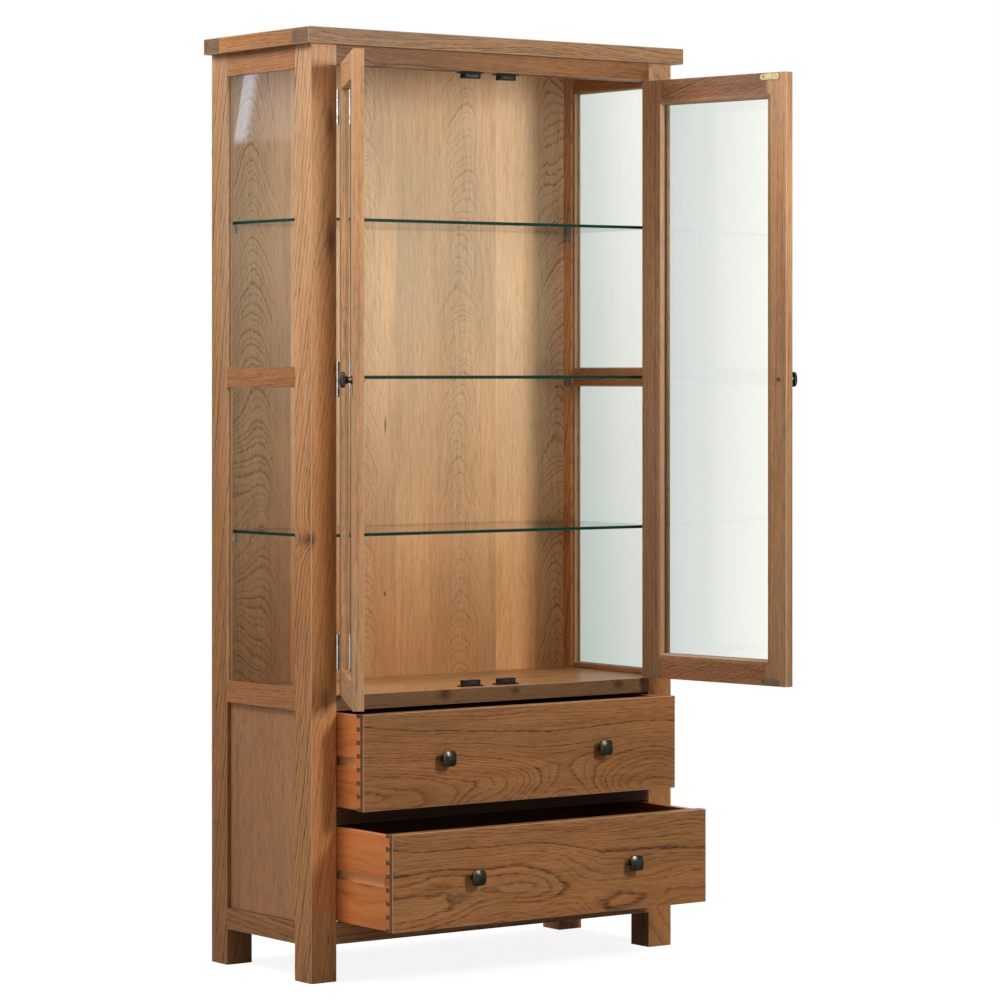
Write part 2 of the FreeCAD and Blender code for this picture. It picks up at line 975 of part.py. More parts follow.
def door_pane():
    """The pane of the door."""
    limits = door_rebate(glass_edge_gap)
    limits[3] = limits[2] + glass_thickness
    return block(*limits)


def door_beads():
    """The beads behind the pane, flush with the inside of the door."""
    depth = door_thickness - door_lip - glass_thickness
    width = door_glass_right - door_glass_left
    height = door_glass_top - door_glass_bottom
    beads = bead_frame(width, height, door_rebate_width, depth, door_bead_slope)
    centre = Vector(
        (door_glass_left + door_glass_right) / 2, front + door_lip + glass_thickness, door_middle
    )
    for bead in beads:
        bead.rotate(Vector(0, 0, 0), Vector(0, 0, 1), 180)
        bead.translate(centre)
    return beads


def strike_screw_points():
    """Head points of the screws of both strike plates."""
    y_face = door_back + strike_thickness
    half = strike_screw_spacing / 2
    return [
        Vector(strike_x + side * half, y_face, level) for level in strike_levels for side in [-1, 1]
    ]


def drill_strikes(shape):
    """Drill the holes of the strike plate screws."""
    return drilled(shape, strike_screw_points(), Vector(0, -1, 0), plate_screw_length)


def strike_plates():
    """Two plates with round ends for the catches to hold."""
    plates = []
    end_radius = strike_height / 2
    straight = strike_length / 2 - end_radius
    for level in strike_levels:
        plate = block(
            strike_x - straight,
            strike_x + straight,
            door_back,
            door_back + strike_thickness,
            level - end_radius,
            level + end_radius,
        )
        ends = [
            round_rod(
                end_radius,
                Vector(strike_x + side * straight, door_back, level),
                Vector(0, 1, 0),
                strike_thickness,
            )
            for side in [-1, 1]
        ]
        plate = plate.fuse(ends).removeSplitter()
        plates.append(drill_strikes(plate))
    return plates


def door_screws():
    """The screws of the hinge leaves, the strike plates and the knob."""
    leaf_screws = screws_at(door_screw_points(), Vector(1, 0, 0), hinge_screw_length)
    plate_screws = screws_at(strike_screw_points(), Vector(0, -1, 0), plate_screw_length)
    return leaf_screws + plate_screws + [knob_screw(door_knob_point, door_thickness, 0)]


def closed_left_door():
    """All pieces of the left door, closed."""
    return {
        "door_hinge_stile": [hinge_stile()],
        "door_meeting_stile": [meeting_stile()],
        "door_rails": [door_rail(low, high) for low, high in door_rail_levels],
        "door_glass": [door_pane()],
        "door_beads": door_beads(),
        "door_hinge_leaves": door_leaves(),
        "door_strike_plates": strike_plates(),
        "door_screws": door_screws(),
        "door_knob": [knob(door_knob_point)],
    }


def open_door(pieces, side, angle):
    """The pieces of a door, swung outward; side is -1 for left and 1 for right."""
    hinge_line = Vector(pin_x, pin_y, 0)
    for shapes in pieces.values():
        for shape in shapes:
            shape.rotate(hinge_line, Vector(0, 0, 1), -angle)
    if side > 0:
        pieces = {name: [mirrored(shape) for shape in shapes] for name, shapes in pieces.items()}
    return pieces


# Catches

def catch_front():
    """The plane of the catch faces, just behind the closed strike plates."""
    return door_back + strike_thickness + catch_door_gap


def catch_screw_points(level):
    """Head points of the two screws of the left catch at one level."""
    ear = (catch_base_width + catch_body_width) / 4
    up = 1 if level == deck_top else -1
    y_place = catch_front() + catch_base_depth / 2
    height = level + up * catch_base_thickness
    return [Vector(-catch_offset + side * ear, y_place, height) for side in [-1, 1]]


def both_points(points):
    """The given points and their mirror images."""
    return points + [Vector(-point.x, point.y, point.z) for point in points]


def magnet_limits(gap):
    """Limits of a magnet in a catch that stands on the level zero."""
    middle = catch_base_thickness + catch_body_height / 2
    y_low = catch_front()
    return [
        -catch_offset - magnet_width / 2 - gap,
        -catch_offset + magnet_width / 2 + gap,
        y_low,
        y_low + magnet_depth + gap,
        middle - magnet_height / 2 - gap,
        middle + magnet_height / 2 + gap,
    ]


def catch_case():
    """The left catch case on the level zero: a base with two ears and a body."""
    y_low = catch_front()
    base = block(
        -catch_offset - catch_base_width / 2,
        -catch_offset + catch_base_width / 2,
        y_low,
        y_low + catch_base_depth,
        0,
        catch_base_thickness,
    )
    base = base.makeFillet(catch_rounding, edges_along(base, Vector(0, 0, 1), lambda middle: True))
    body = block(
        -catch_offset - catch_body_width / 2,
        -catch_offset + catch_body_width / 2,
        y_low,
        y_low + catch_body_depth,
        0,
        catch_base_thickness + catch_body_height,
    )
    top_level = catch_base_thickness + catch_body_height - overrun
    rims = edges_along(body, Vector(1, 0, 0), lambda middle: middle.z > top_level)
    rims += edges_along(body, Vector(0, 1, 0), lambda middle: middle.z > top_level)
    body = body.makeFillet(catch_rounding, rims)
    mouth = magnet_limits(magnet_gap)
    mouth[2] -= overrun
    return base.fuse(body).removeSplitter().cut(block(*mouth))


def set_on(level, shapes):
    """Stand shapes on the deck, or hang them upside down under the header."""
    if level == header_bottom:
        shapes = [shape.mirror(Vector(0, 0, 0), Vector(0, 0, 1)) for shape in shapes]
    for shape in shapes:
        shape.translate(Vector(0, 0, level))
    return shapes


def catch_nodes():
    """Cases and magnets of all four catches."""
    cases = []
    magnets = []
    for level in [deck_top, header_bottom]:
        into_wood = Vector(0, 0, -1) if level == deck_top else Vector(0, 0, 1)
        points = catch_screw_points(level)
        case = set_on(level, [catch_case()])[0]
        cases += both_sides([drilled(case, points, into_wood, plate_screw_length)])
        magnets += both_sides(set_on(level, [block(*magnet_limits(0))]))
    return {"catch_cases": cases, "catch_magnets": magnets}


def catch_screws():
    """The screws of the two left catches."""
    low = screws_at(catch_screw_points(deck_top), Vector(0, 0, -1), plate_screw_length)
    high = screws_at(catch_screw_points(header_bottom), Vector(0, 0, 1), plate_screw_length)
    return low + high


# Drawers, built closed, with their bottom at a given level

def groove_levels(drawer_bottom):
    """The lower and upper level of the runner groove in a drawer side."""
    middle = drawer_bottom + drawer_height / 2
    return middle - groove_height / 2, middle + groove_height / 2


def dovetail(level, drawer_bottom):
    """One tail of the left drawer side, wider at its tip in the front."""
    pitch = drawer_side_height / tail_count
    middle = drawer_bottom + drawer_side_drop + (level + 1 / 2) * pitch
    root = (pitch - dovetail_pin_height) / 2
    tip = root + dovetail_flare
    y_root = front + drawer_front_thickness
    y_tip = front + drawer_lap
    outline = [
        Vector(-drawer_half, y_root, middle - root),
        Vector(-drawer_half, y_root, middle + root),
        Vector(-drawer_half, y_tip, middle + tip),
        Vector(-drawer_half, y_tip, middle - tip),
    ]
    return prism(outline, Vector(drawer_side_thickness, 0, 0))


def dovetails(drawer_bottom):
    """All tails of the left side of a drawer."""
    return [dovetail(level, drawer_bottom) for level in range(tail_count)]


def drawer_bottom_limits(drawer_bottom, gap):
    """Limits of the bottom board in its grooves; a gap makes the grooves."""
    reach = drawer_half - drawer_side_thickness + drawer_bottom_groove + gap
    y_low = front + drawer_front_thickness - drawer_bottom_groove - gap
    z_low = drawer_bottom + drawer_side_drop + drawer_bottom_inset - gap
    z_high = z_low + drawer_bottom_thickness + 2 * gap
    return [-reach, reach, y_low, front + drawer_length, z_low, z_high]


def drawer_back_limits(drawer_bottom, gap):
    """Limits of the back board, let into the sides above the bottom board."""
    reach = drawer_half - drawer_side_thickness + drawer_back_housing + gap
    y_high = front + drawer_length - drawer_back_inset
    z_low = drawer_bottom_limits(drawer_bottom, 0)[5]
    z_high = drawer_bottom + drawer_height - drawer_side_drop - drawer_back_drop
    return [
        -reach,
        reach,
        y_high - drawer_back_thickness - gap,
        y_high + gap,
        z_low,
        z_high + gap,
    ]


def drawer_side(drawer_bottom):
    """The left side of a drawer with its tails, runner groove and housings."""
    low = drawer_bottom + drawer_side_drop
    high = low + drawer_side_height
    x_inner = -drawer_half + drawer_side_thickness
    y_low = front + drawer_front_thickness
    side = block(-drawer_half, x_inner, y_low, front + drawer_length, low, high)
    upper_edges = edges_along(side, Vector(0, 1, 0), lambda middle: middle.z > high - overrun)
    side = side.makeFillet(runner_rounding, upper_edges)
    side = side.fuse(dovetails(drawer_bottom)).removeSplitter()
    groove_low, groove_high = groove_levels(drawer_bottom)
    groove = block(
        -drawer_half - overrun,
        -drawer_half + groove_depth,
        front + drawer_lap + groove_stop,
        front + drawer_length + overrun,
        groove_low,
        groove_high,
    )
    bottom_groove = drawer_bottom_limits(drawer_bottom, panel_gap)
    bottom_groove[3] += overrun
    housing = drawer_back_limits(drawer_bottom, panel_gap)
    return side.cut([groove, block(*bottom_groove), block(*housing)])


def drawer_knob_points(drawer_bottom):
    """Where the two knobs stand on a drawer front."""
    x_place = opening_half * 2 * drawer_knob_share
    level = drawer_bottom + drawer_height / 2
    return [Vector(side * x_place, front, level) for side in [-1, 1]]


def drawer_front(drawer_bottom):
    """The front of a drawer, rounded outside and cut for its sides and bottom."""
    board = block(
        -drawer_half,
        drawer_half,
        front,
        front + drawer_front_thickness,
        drawer_bottom,
        drawer_bottom + drawer_height,
    )
    face_edges = [edge for edge in board.Edges if edge.CenterOfMass.y < front + overrun]
    board = board.makeFillet(drawer_front_rounding, face_edges)
    tails = dovetails(drawer_bottom)
    board = board.cut(both_sides(tails))
    board = board.cut(block(*drawer_bottom_limits(drawer_bottom, panel_gap)))
    holes = [
        knob_screw(point, drawer_front_thickness, screw_gap)
        for point in drawer_knob_points(drawer_bottom)
    ]
    return board.cut(holes)


def closed_drawer(drawer_bottom):
    """All pieces of a drawer, closed."""
    points = drawer_knob_points(drawer_bottom)
    return {
        "drawer_front": [drawer_front(drawer_bottom)],
        "drawer_sides": both_sides([drawer_side(drawer_bottom)]),
        "drawer_back": [block(*drawer_back_limits(drawer_bottom, 0))],
        "drawer_bottom": [block(*drawer_bottom_limits(drawer_bottom, 0))],
        "drawer_knobs": [knob(point) for point in points],
        "drawer_knob_screws": [knob_screw(point, drawer_front_thickness, 0) for point in points],
    }


drawer_levels = {
    "upper": divider_top + drawer_bottom_gap,
    "lower": bottom_rail_top + drawer_bottom_gap,
}
drawer_pulls = {"upper": upper_drawer_pull, "lower": lower_drawer_pull}


def runner_limits(drawer_bottom):
    """Limits of the left runner, just under the upper face of the drawer's groove."""
    high = groove_levels(drawer_bottom)[1] - runner_rest_gap
    y_low = front + drawer_lap + groove_stop + runner_front_gap
    y_high = back_panel_front - runner_back_gap
    x_low = -opening_half
    return [x_low, x_low + runner_reach, y_low, y_high, high - runner_height, high]


def runner_screw_points():
    """Head points of the left runner screws, in the front leg and in the back leg."""
    front_points = []
    back_points = []
    for drawer_bottom in drawer_levels.values():
        _, x_face, y_low, y_high, z_low, z_high = runner_limits(drawer_bottom)
        level = (z_low + z_high) / 2
        front_points.append(Vector(x_face, y_low + runner_screw_inset, level))
        back_points.append(Vector(x_face, y_high - runner_screw_inset, level))
    return front_points, back_points


def drawer_runners():
    """The runners of both drawers, screwed to the legs."""
    front_points, back_points = runner_screw_points()
    runners = []
    for drawer_bottom in drawer_levels.values():
        limits = runner_limits(drawer_bottom)
        runner = block(*limits)
        face_edges = edges_along(
            runner, Vector(0, 1, 0), lambda middle: middle.x > limits[1] - overrun
        )
        runner = runner.makeFillet(runner_rounding, face_edges)
        points = front_points + back_points
        runners.append(drilled(runner, points, Vector(-1, 0, 0), runner_screw_length))
    return both_sides(runners)


def carcass_screws():
    """Screws that hold the top, the runners, the frame leaves and the catches."""
    front_top, back_top = top_screw_points()
    front_runner, back_runner = runner_screw_points()
    top_screws = screws_at(front_top + back_top, Vector(0, 0, 1), top_screw_length)
    inward = Vector(-1, 0, 0)
    runner_screws = screws_at(front_runner + back_runner, inward, runner_screw_length)
    leaf_screws = screws_at(frame_screw_points(), inward, hinge_screw_length)
    return top_screws + both_sides(runner_screws + leaf_screws + catch_screws())


# The whole cabinet

def carcass_nodes():
    """Every fixed piece, by name."""
    left_front = front_leg()
    left_back = back_leg()
    rear = [back_rail(low, high) for low, high in back_rail_levels()]
    panes = [window_pane(low, high) for low, high in window_levels()]
    beads = []
    for low, high in window_levels():
        beads += window_beads(low, high)
    nodes = {
        "leg_front_left": [left_front],
        "leg_front_right": [mirrored(left_front)],
        "leg_back_left": [left_back],
        "leg_back_right": [mirrored(left_back)],
        "side_bottom_rails": both_sides([side_rail("bottom")]),
        "side_lower_rails": both_sides([side_rail("lower")]),
        "side_middle_rails": both_sides([side_rail("middle")]),
        "side_top_rails": both_sides([side_rail("top")]),
        "front_top_rail": [header()],
        "front_bottom_rail": [
            cross_rail(foot_height, bottom_rail_top, front, front + leg_flange, front_tenon_y)
        ],
        "drawer_divider_rail": [
            cross_rail(
                divider_bottom, divider_top, front, front + divider_depth, front_tenon_y
            )
        ],
        "back_rails": rear,
        "deck": [deck()],
        "side_panels": both_sides([side_panel()]),
        "upper_back_panel": [upper_back_panel()],
        "lower_back_panel": [block(*lower_back_limits(panel_groove_depth))],
        "side_glass": both_sides(panes),
        "side_glazing_beads": both_sides(beads),
        "glass_shelves": [glass_shelf(shelf_bottom) for shelf_bottom in shelf_bottoms],
        "shelf_supports": shelf_supports(),
        "frame_hinge_leaves": both_sides(frame_leaves()),
        "hinge_pins": both_sides(hinge_pins()),
        "drawer_runners": drawer_runners(),
        "carcass_screws": carcass_screws(),
    }
    nodes.update(top_pieces())
    nodes.update(catch_nodes())
    return nodes


def moving_nodes():
    """Every piece of the doors and drawers, by name, at rest."""
    nodes = {}
    for name, side, angle in [("left", -1, left_door_angle), ("right", 1, right_door_angle)]:
        for piece, shapes in open_door(closed_left_door(), side, angle).items():
            nodes[f"{name}_{piece}"] = shapes
    for name, drawer_bottom in drawer_levels.items():
        for piece, shapes in closed_drawer(drawer_bottom).items():
            for shape in shapes:
                shape.translate(Vector(0, -drawer_pulls[name], 0))
            nodes[f"{name}_{piece}"] = shapes
    return nodes


def write_node(name, shapes):
    """Write the solids of one node to its file."""
    solids = [solid for shape in shapes for solid in shape.Solids]
    shape = solids[0] if len(solids) == 1 else Part.makeCompound(solids)
    shape.exportStep(os.path.join("parts", name + ".step"))
    print(name, len(solids), "solids", round(shape.Volume), "mm3", shape.isValid())


os.makedirs("parts", exist_ok=True)
for node, node_shapes in {**carcass_nodes(), **moving_nodes()}.items():
    write_node(node, node_shapes)
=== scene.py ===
import math
from typing import NamedTuple

import bpy
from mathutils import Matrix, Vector


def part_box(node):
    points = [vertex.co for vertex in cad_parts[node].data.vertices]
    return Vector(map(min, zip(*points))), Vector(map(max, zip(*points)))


# The looks of the display cabinet: materials, floor, world, lamps and camera.
# Every material is made in its piece's own rest coordinates, in metres.

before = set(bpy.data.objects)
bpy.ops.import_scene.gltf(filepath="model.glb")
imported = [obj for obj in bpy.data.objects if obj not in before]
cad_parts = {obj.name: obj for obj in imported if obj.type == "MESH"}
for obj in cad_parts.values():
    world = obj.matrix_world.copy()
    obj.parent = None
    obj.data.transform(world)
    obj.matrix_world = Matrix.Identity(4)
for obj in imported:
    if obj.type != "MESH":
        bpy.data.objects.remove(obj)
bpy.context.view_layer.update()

# Planes of the cabinet that materials follow
FRONT_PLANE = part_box("deck")[0].y
DRAWER_SIDE_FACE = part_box("upper_drawer_sides")[1].x

WHITE = (1.0, 1.0, 1.0, 1.0)


def display_colour(red, green, blue):
    """A colour given in display values from 0 to 255, with full opacity."""
    channels = []
    for value in (red, green, blue):
        share = value / 255
        if share <= 0.04045:
            channels.append(share / 12.92)
        else:
            channels.append(((share + 0.055) / 1.055) ** 2.4)
    return (*channels, 1.0)


# Node graphs

class Graph:
    """A node tree with short ways to add the nodes that the materials use."""

    def __init__(self, tree):
        self.tree = tree
        self.tree.nodes.clear()

    def put(self, socket, value):
        """Link an output to a socket, or set the socket's own value."""
        if isinstance(value, bpy.types.NodeSocket):
            self.tree.links.new(value, socket)
        else:
            socket.default_value = value

    def add(self, kind, inputs=(), **settings):
        """Add a node, with its settings and the values of some inputs."""
        node = self.tree.nodes.new(kind)
        for name, value in settings.items():
            setattr(node, name, value)
        for name, value in dict(inputs).items():
            self.put(node.inputs[name], value)
        return node

    def math(self, operation, *values, clamp=False):
        """The result of a sum on up to three numbers."""
        inputs = dict(enumerate(values))
        return self.add("ShaderNodeMath", inputs, operation=operation, use_clamp=clamp).outputs[0]

    def plus(self, first, second):
        return self.math("ADD", first, second)

    def times(self, first, second):
        return self.math("MULTIPLY", first, second)

    def fused(self, first, second, added):
        """The product of two numbers, plus a third."""
        return self.math("MULTIPLY_ADD", first, second, added)

    def combine(self, x, y, z):
        return self.add("ShaderNodeCombineXYZ", {0: x, 1: y, 2: z}).outputs[0]

    def separate(self, vector):
        return list(self.add("ShaderNodeSeparateXYZ", {0: vector}).outputs)

    def point(self):
        """Where a point of the piece lies at rest."""
        return self.add("ShaderNodeTexCoord").outputs["Object"]

    def normal(self):
        """Which way the surface faces at rest."""
        return self.add("ShaderNodeTexCoord").outputs["Normal"]

    def turned(self, vector, degrees):
        """A vector turned about the upright axis."""
        if not degrees:
            return vector
        inputs = {"Vector": vector, "Angle": math.radians(degrees)}
        return self.add("ShaderNodeVectorRotate", inputs, rotation_type="Z_AXIS").outputs[0]

    def along(self, first, direction):
        """How far a vector reaches along a direction."""
        node = self.add("ShaderNodeVectorMath", operation="DOT_PRODUCT")
        self.put(node.inputs[0], first)
        self.put(node.inputs[1], direction)
        return node.outputs["Value"]

    def noise(self, vector, scale=1.0, detail=2.0, roughness=0.5):
        """Smooth noise from 0 to 1, with a middle of one half."""
        inputs = {"Vector": vector, "Scale": scale, "Detail": detail, "Roughness": roughness}
        return self.add("ShaderNodeTexNoise", inputs).outputs[0]

    def stretched_noise(self, axes, cells, detail=2.0, roughness=0.5):
        """Noise with its own number of cells to a metre along each axis."""
        scaled = [self.times(axis, count) for axis, count in zip(axes, cells)]
        return self.noise(self.combine(*scaled), 1.0, detail, roughness)

    def random(self, number):
        """A random value from 0 to 1 that belongs to a number."""
        node = self.add("ShaderNodeTexWhiteNoise", {"W": number}, noise_dimensions="1D")
        return node.outputs[0]

    def remap(self, value, lower_shade, high, to_low=0.0, to_high=1.0, smooth=False):
        """A value moved from one range to another and held there."""
        kind = "SMOOTHSTEP" if smooth else "LINEAR"
        inputs = {0: value, 1: lower_shade, 2: high, 3: to_low, 4: to_high}
        return self.add("ShaderNodeMapRange", inputs, interpolation_type=kind).outputs[0]

    def ramp(self, value, stops):
        """A grey value read from a list of places and values."""
        node = self.add("ShaderNodeValToRGB", {0: value})
        elements = node.color_ramp.elements
        while len(elements) < len(stops):
            elements.new(1.0)
        for element, (place, grey) in zip(elements, stops):
            element.position = place
            element.color = (grey, grey, grey, 1.0)
        return node.outputs[0]

    def mix(self, share, first, second, blend="MIX"):
        """Two colours mixed by a share of the second."""
        node = self.add("ShaderNodeMix", data_type="RGBA", blend_type=blend)
        self.put(node.inputs[0], share)
        self.put(node.inputs[6], first)
        self.put(node.inputs[7], second)
        return node.outputs[2]

    def tinted(self, colour, tint):
        """A colour multiplied by another."""
        return self.mix(1.0, colour, tint, "MULTIPLY")

    def shade(self, colour, factor):
        """A colour with its brightness multiplied by a number."""
        return self.tinted(colour, self.combine(factor, factor, factor))

    def bump(self, height, strength, distance):
        """Normals of a surface with small relief."""
        inputs = {"Height": height, "Strength": strength, "Distance": distance}
        return self.add("ShaderNodeBump", inputs).outputs[0]

    def surface(self, inputs):
        """A principled shader with the given inputs."""
        return self.add("ShaderNodeBsdfPrincipled", inputs).outputs[0]

    def finish(self, shader):
        """Send a shader to the output."""
        self.add("ShaderNodeOutputMaterial", {"Surface": shader})


def new_material(name):
    """A material and the graph of its nodes."""
    material = bpy.data.materials.new(name)
    material.use_nodes = True
    return material, Graph(material.node_tree)


# Noise mostly keeps between these levels
SOFT_LEVELS = (0.3, 0.7)


# Wood

class Figure(NamedTuple):
    """The grain of one kind of board. Cells are counts to a metre along, across and deep."""

    # Width of a growth ring, and the place of the tree's heart across and deep
    ring: float
    pith: tuple
    # How far the heart sways, drifts in a metre along the board, and tapers in a metre
    wander: float
    lean: tuple = (0.0, 0.0)
    climb: float = 0.0
    sway_cells: tuple = (1.7, 7.0, 7.0)
    # How ragged the rings' edges are, in rings
    ragged: float = 0.9
    ragged_cells: tuple = (16.0, 120.0, 120.0)
    # Steps across from board to board, and along from leaf to leaf of veneer
    stagger: float = 0.013
    slip: float = 0.004
    # How dark rings, dashes, streaks and pores are
    contrast: float = 0.85
    dash: float = 0.22
    streak: float = 0.14
    pores: float = 0.6
    dash_cells: tuple = (50.0, 540.0, 540.0)
    streak_cells: tuple = (2.2, 60.0, 60.0)


class Knot(NamedTuple):
    """A knot's place in its board, its half size, its bend in rings and its darkness."""

    along: float
    across: float
    deep: float
    half_length: float
    half_width: float
    bend: float
    darkness: float


class Leaves(NamedTuple):
    """Leaves of veneer side by side: their width, a seam, and each leaf's heart from its seam."""

    width: float
    seam: float
    heart: float
    # The middle of the leaves with faint rings, and how strong those rings are
    calm_middle: float = None
    calm_share: float = 1.0
    # First leaf, last leaf and their tones, partly the veneer's own and partly painted light and
    # shade
    leaf_tone_and_light_steps: tuple = ()


class LightZone(NamedTuple):
    """A stretch along an axis, or toward a corner, over which the tone changes as painted light and
    shade.
    """

    axis: str
    start: float
    end: float
    first_tone: float
    last_tone: float


class LowerShade(NamedTuple):
    """Painted shade: darker colours that a board takes on toward its lower end: from which level,
    over what drop.
    """

    level: float
    drop: float
    light: tuple
    dark: tuple


class LightStripe(NamedTuple):
    """A stripe of painted light: a paler colour between two levels of an axis."""

    axis: str
    start: float
    end: float
    colour: tuple


# Which axes run along, across and deep in a board with its grain along x, y or z
GRAIN_ORDER = {"x": (0, 2, 1), "y": (1, 2, 0), "z": (2, 0, 1)}

# Cells to a metre along, across and deep, for marks that all boards share
PORE_CELLS = (34.0, 900.0, 900.0)
FIBRE_CELLS = (16.0, 240.0, 240.0)
PATCH_CELLS = (1.6, 8.0, 8.0)
HUE_CELLS = (2.1, 19.0, 19.0)

# Steps in number, and in places, from one board or leaf to the next
BOARD_STEP = 1.7
LEAF_STEP = 3.1
BOARD_SHIFT_ALONG = 0.83
BOARD_SHIFT_DEEP = 0.0071

# What sets a board's tone and its second sway apart from its other noise
TONE_SHIFT = 0.37
SWAY_SHIFT = 3.7

# Knots reach this deep, and their dark heart is this much smaller than their swell
KNOT_DEPTH = 0.125
KNOT_HEART = 5.0

# How unevenly the rings follow each other: cells of noise to a ring, and rings moved by it
UNEVEN_CELLS = 0.45
UNEVEN_RINGS = 2.2

# Darkness across one growth ring, and the faintest ring's share
RING_STOPS = [(0.0, 0.0), (0.05, 1.0), (0.16, 0.85), (0.34, 0.22), (0.7, 0.04), (1.0, 0.0)]
FAINTEST_RING_SHARE = 0.4

# In veneer, rings fade from their heart over this stretch, down to this share. Calm leaves
# end over this many leaves from their middle
HEART_REACH = (0.025, 0.07)
FAR_RING_SHARE = 0.2
CALM_REACH = (0.6, 1.4)

# Noise levels between which pores and dashes appear, and how much darker fibres can be
PORE_LEVELS = (0.54, 0.72)
DASH_LEVELS = (0.4, 0.62)
FIBRE_SHARES = (-0.18, 0.2)

# Shares of pores and of ring darkness that are always there, and that rings or dashes add
PORES_ANYWHERE = 0.25
PORES_IN_RINGS = 0.75
RINGS_WITHOUT_DASHES = 0.55
RINGS_WITH_DASHES = 0.45
PORE_COLOUR_SHARE = 0.4

# Tones of patches and end grain, and levels of a normal at end grain, faces and arrises
PATCH_TONES = (0.84, 1.14)
END_GRAIN_LEVELS = (0.8, 0.95)
END_GRAIN_TONE = 0.5
FACE_LEVELS = (0.9, 0.95)
ARRIS_LEVELS = (0.94, 0.985)
# A painted highlight on rounded arrises, partly paler worn wood: its share and colour
ARRIS_HIGHLIGHT_SHARE = 0.6
ARRIS_HIGHLIGHT_COLOUR = display_colour(214, 190, 164)

# Soft changes of hue
HUE_LEVELS = (0.35, 0.65)
WARM_HUE = (1.04, 0.99, 0.93, 1.0)
COOL_HUE = (0.975, 1.005, 1.0, 1.0)

# Relief and polish of the wood, whose dark parts are rougher
DASH_RELIEF = 0.25
WOOD_RELIEF = 0.35
WOOD_RELIEF_DEPTH = 0.0003
DARK_ROUGHNESS = 0.12
WOOD_SHINE = 0.3

# Half of a soft edge between two colours
SOFT_EDGE = 0.0005

# How much of y and of z is added to x, so that only that corner's leg has a high sum
CORNER_SLOPES = {
    "front_right": (-2.4, 0.0),
    "front_right_top": (-2.4, 0.3),
    "back_right": (2.4, 0.0),
}
# Levels of the back right corner's sum at which painted light on its inner faces sets in
BACK_RIGHT_LEG = (0.5, 0.6)


def board_axes(graph, grain, turn, splits):
    """Places along, across and deep in a board, and the board's own number.

    Turn is the angle that brings a swung piece back to its closed place. Each split is an
    axis and a level that lies between two boards of the same node.
    """
    places = graph.separate(graph.turned(graph.point(), turn))
    number = 1.0
    for index, (axis, level) in enumerate(splits):
        above = graph.math("GREATER_THAN", places["xyz".index(axis)], level)
        number = graph.plus(number, graph.times(above, 1.0 + BOARD_STEP * index))
    return [places[index] for index in GRAIN_ORDER[grain]], number


def staggered(graph, axes, number, stagger):
    """Places moved by the board's number, so that no two boards look alike."""
    steps = (BOARD_SHIFT_ALONG, stagger, BOARD_SHIFT_DEEP)
    return [graph.fused(number, step, axis) for axis, step in zip(axes, steps)]


def in_leaves(graph, axes, number, leaves, slip):
    """Places within a leaf of veneer, the number of board and leaf, and the leaf's number."""
    from_seam = graph.times(graph.plus(axes[1], -leaves.seam), 1.0 / leaves.width)
    leaf_number = graph.math("FLOOR", from_seam)
    across = graph.fused(graph.math("FRACT", from_seam), leaves.width, -leaves.heart)
    along = graph.plus(axes[0], graph.times(leaf_number, slip))
    number = graph.plus(number, graph.times(leaf_number, LEAF_STEP))
    return [along, across, axes[2]], number, leaf_number


def leaf_ring_share(graph, across, leaf_number, leaves):
    """How strong the rings are: fainter in calm leaves and away from each leaf's heart."""
    from_calm = graph.math("ABSOLUTE", graph.plus(leaf_number, -leaves.calm_middle))
    share = graph.remap(from_calm, *CALM_REACH, leaves.calm_share, 1.0)
    from_heart = graph.math("ABSOLUTE", across)
    near_heart = graph.remap(from_heart, *HEART_REACH, 1.0, FAR_RING_SHARE, smooth=True)
    return graph.times(share, near_heart)


def knot_swell(graph, axes, knots):
    """How far the rings bend round each knot, and how dark the knots are."""
    swell = 0.0
    core = 0.0
    for knot in knots:
        along = graph.times(graph.plus(axes[0], -knot.along), 1.0 / knot.half_length)
        across = graph.times(graph.plus(axes[1], -knot.across), 1.0 / knot.half_width)
        deep = graph.times(graph.plus(axes[2], -knot.deep), 1.0 / KNOT_DEPTH)
        square = graph.plus(graph.times(along, along), graph.times(across, across))
        square = graph.fused(deep, deep, square)
        bell = graph.math("EXPONENT", graph.times(square, -1.0))
        swell = graph.fused(bell, knot.bend, swell)
        heart = graph.math("EXPONENT", graph.times(square, -KNOT_HEART))
        core = graph.math("MAXIMUM", core, graph.times(heart, knot.darkness))
    return swell, core


def growth_rings(graph, axes, figure, swell):
    """Rings round a far pith line, warped as a tree grows: the ring's place and number."""
    along, across, deep = axes
    sway = graph.plus(graph.stretched_noise(axes, figure.sway_cells, detail=1.0), -0.5)
    other_axes = [graph.plus(axis, SWAY_SHIFT) for axis in axes]
    other_sway = graph.stretched_noise(other_axes, figure.sway_cells, detail=1.0)
    other_sway = graph.plus(other_sway, -0.5)
    flat = graph.plus(across, graph.fused(along, figure.lean[0], -figure.pith[0]))
    flat = graph.fused(sway, figure.wander, flat)
    depth = graph.plus(deep, graph.fused(along, figure.lean[1], -figure.pith[1]))
    depth = graph.fused(other_sway, figure.wander, depth)
    square = graph.plus(graph.times(flat, flat), graph.times(depth, depth))
    distance = graph.math("SQRT", square)
    ragged = graph.plus(graph.stretched_noise(axes, figure.ragged_cells), -0.5)
    distance = graph.fused(ragged, figure.ring * figure.ragged, distance)
    distance = graph.fused(along, figure.climb, distance)
    rings = graph.fused(distance, 1.0 / figure.ring, swell)
    uneven = graph.noise(graph.combine(graph.times(rings, UNEVEN_CELLS), 0.0, 0.0), detail=0.0)
    rings = graph.fused(uneven, UNEVEN_RINGS, rings)
    return graph.math("FRACT", rings), graph.math("FLOOR", rings)


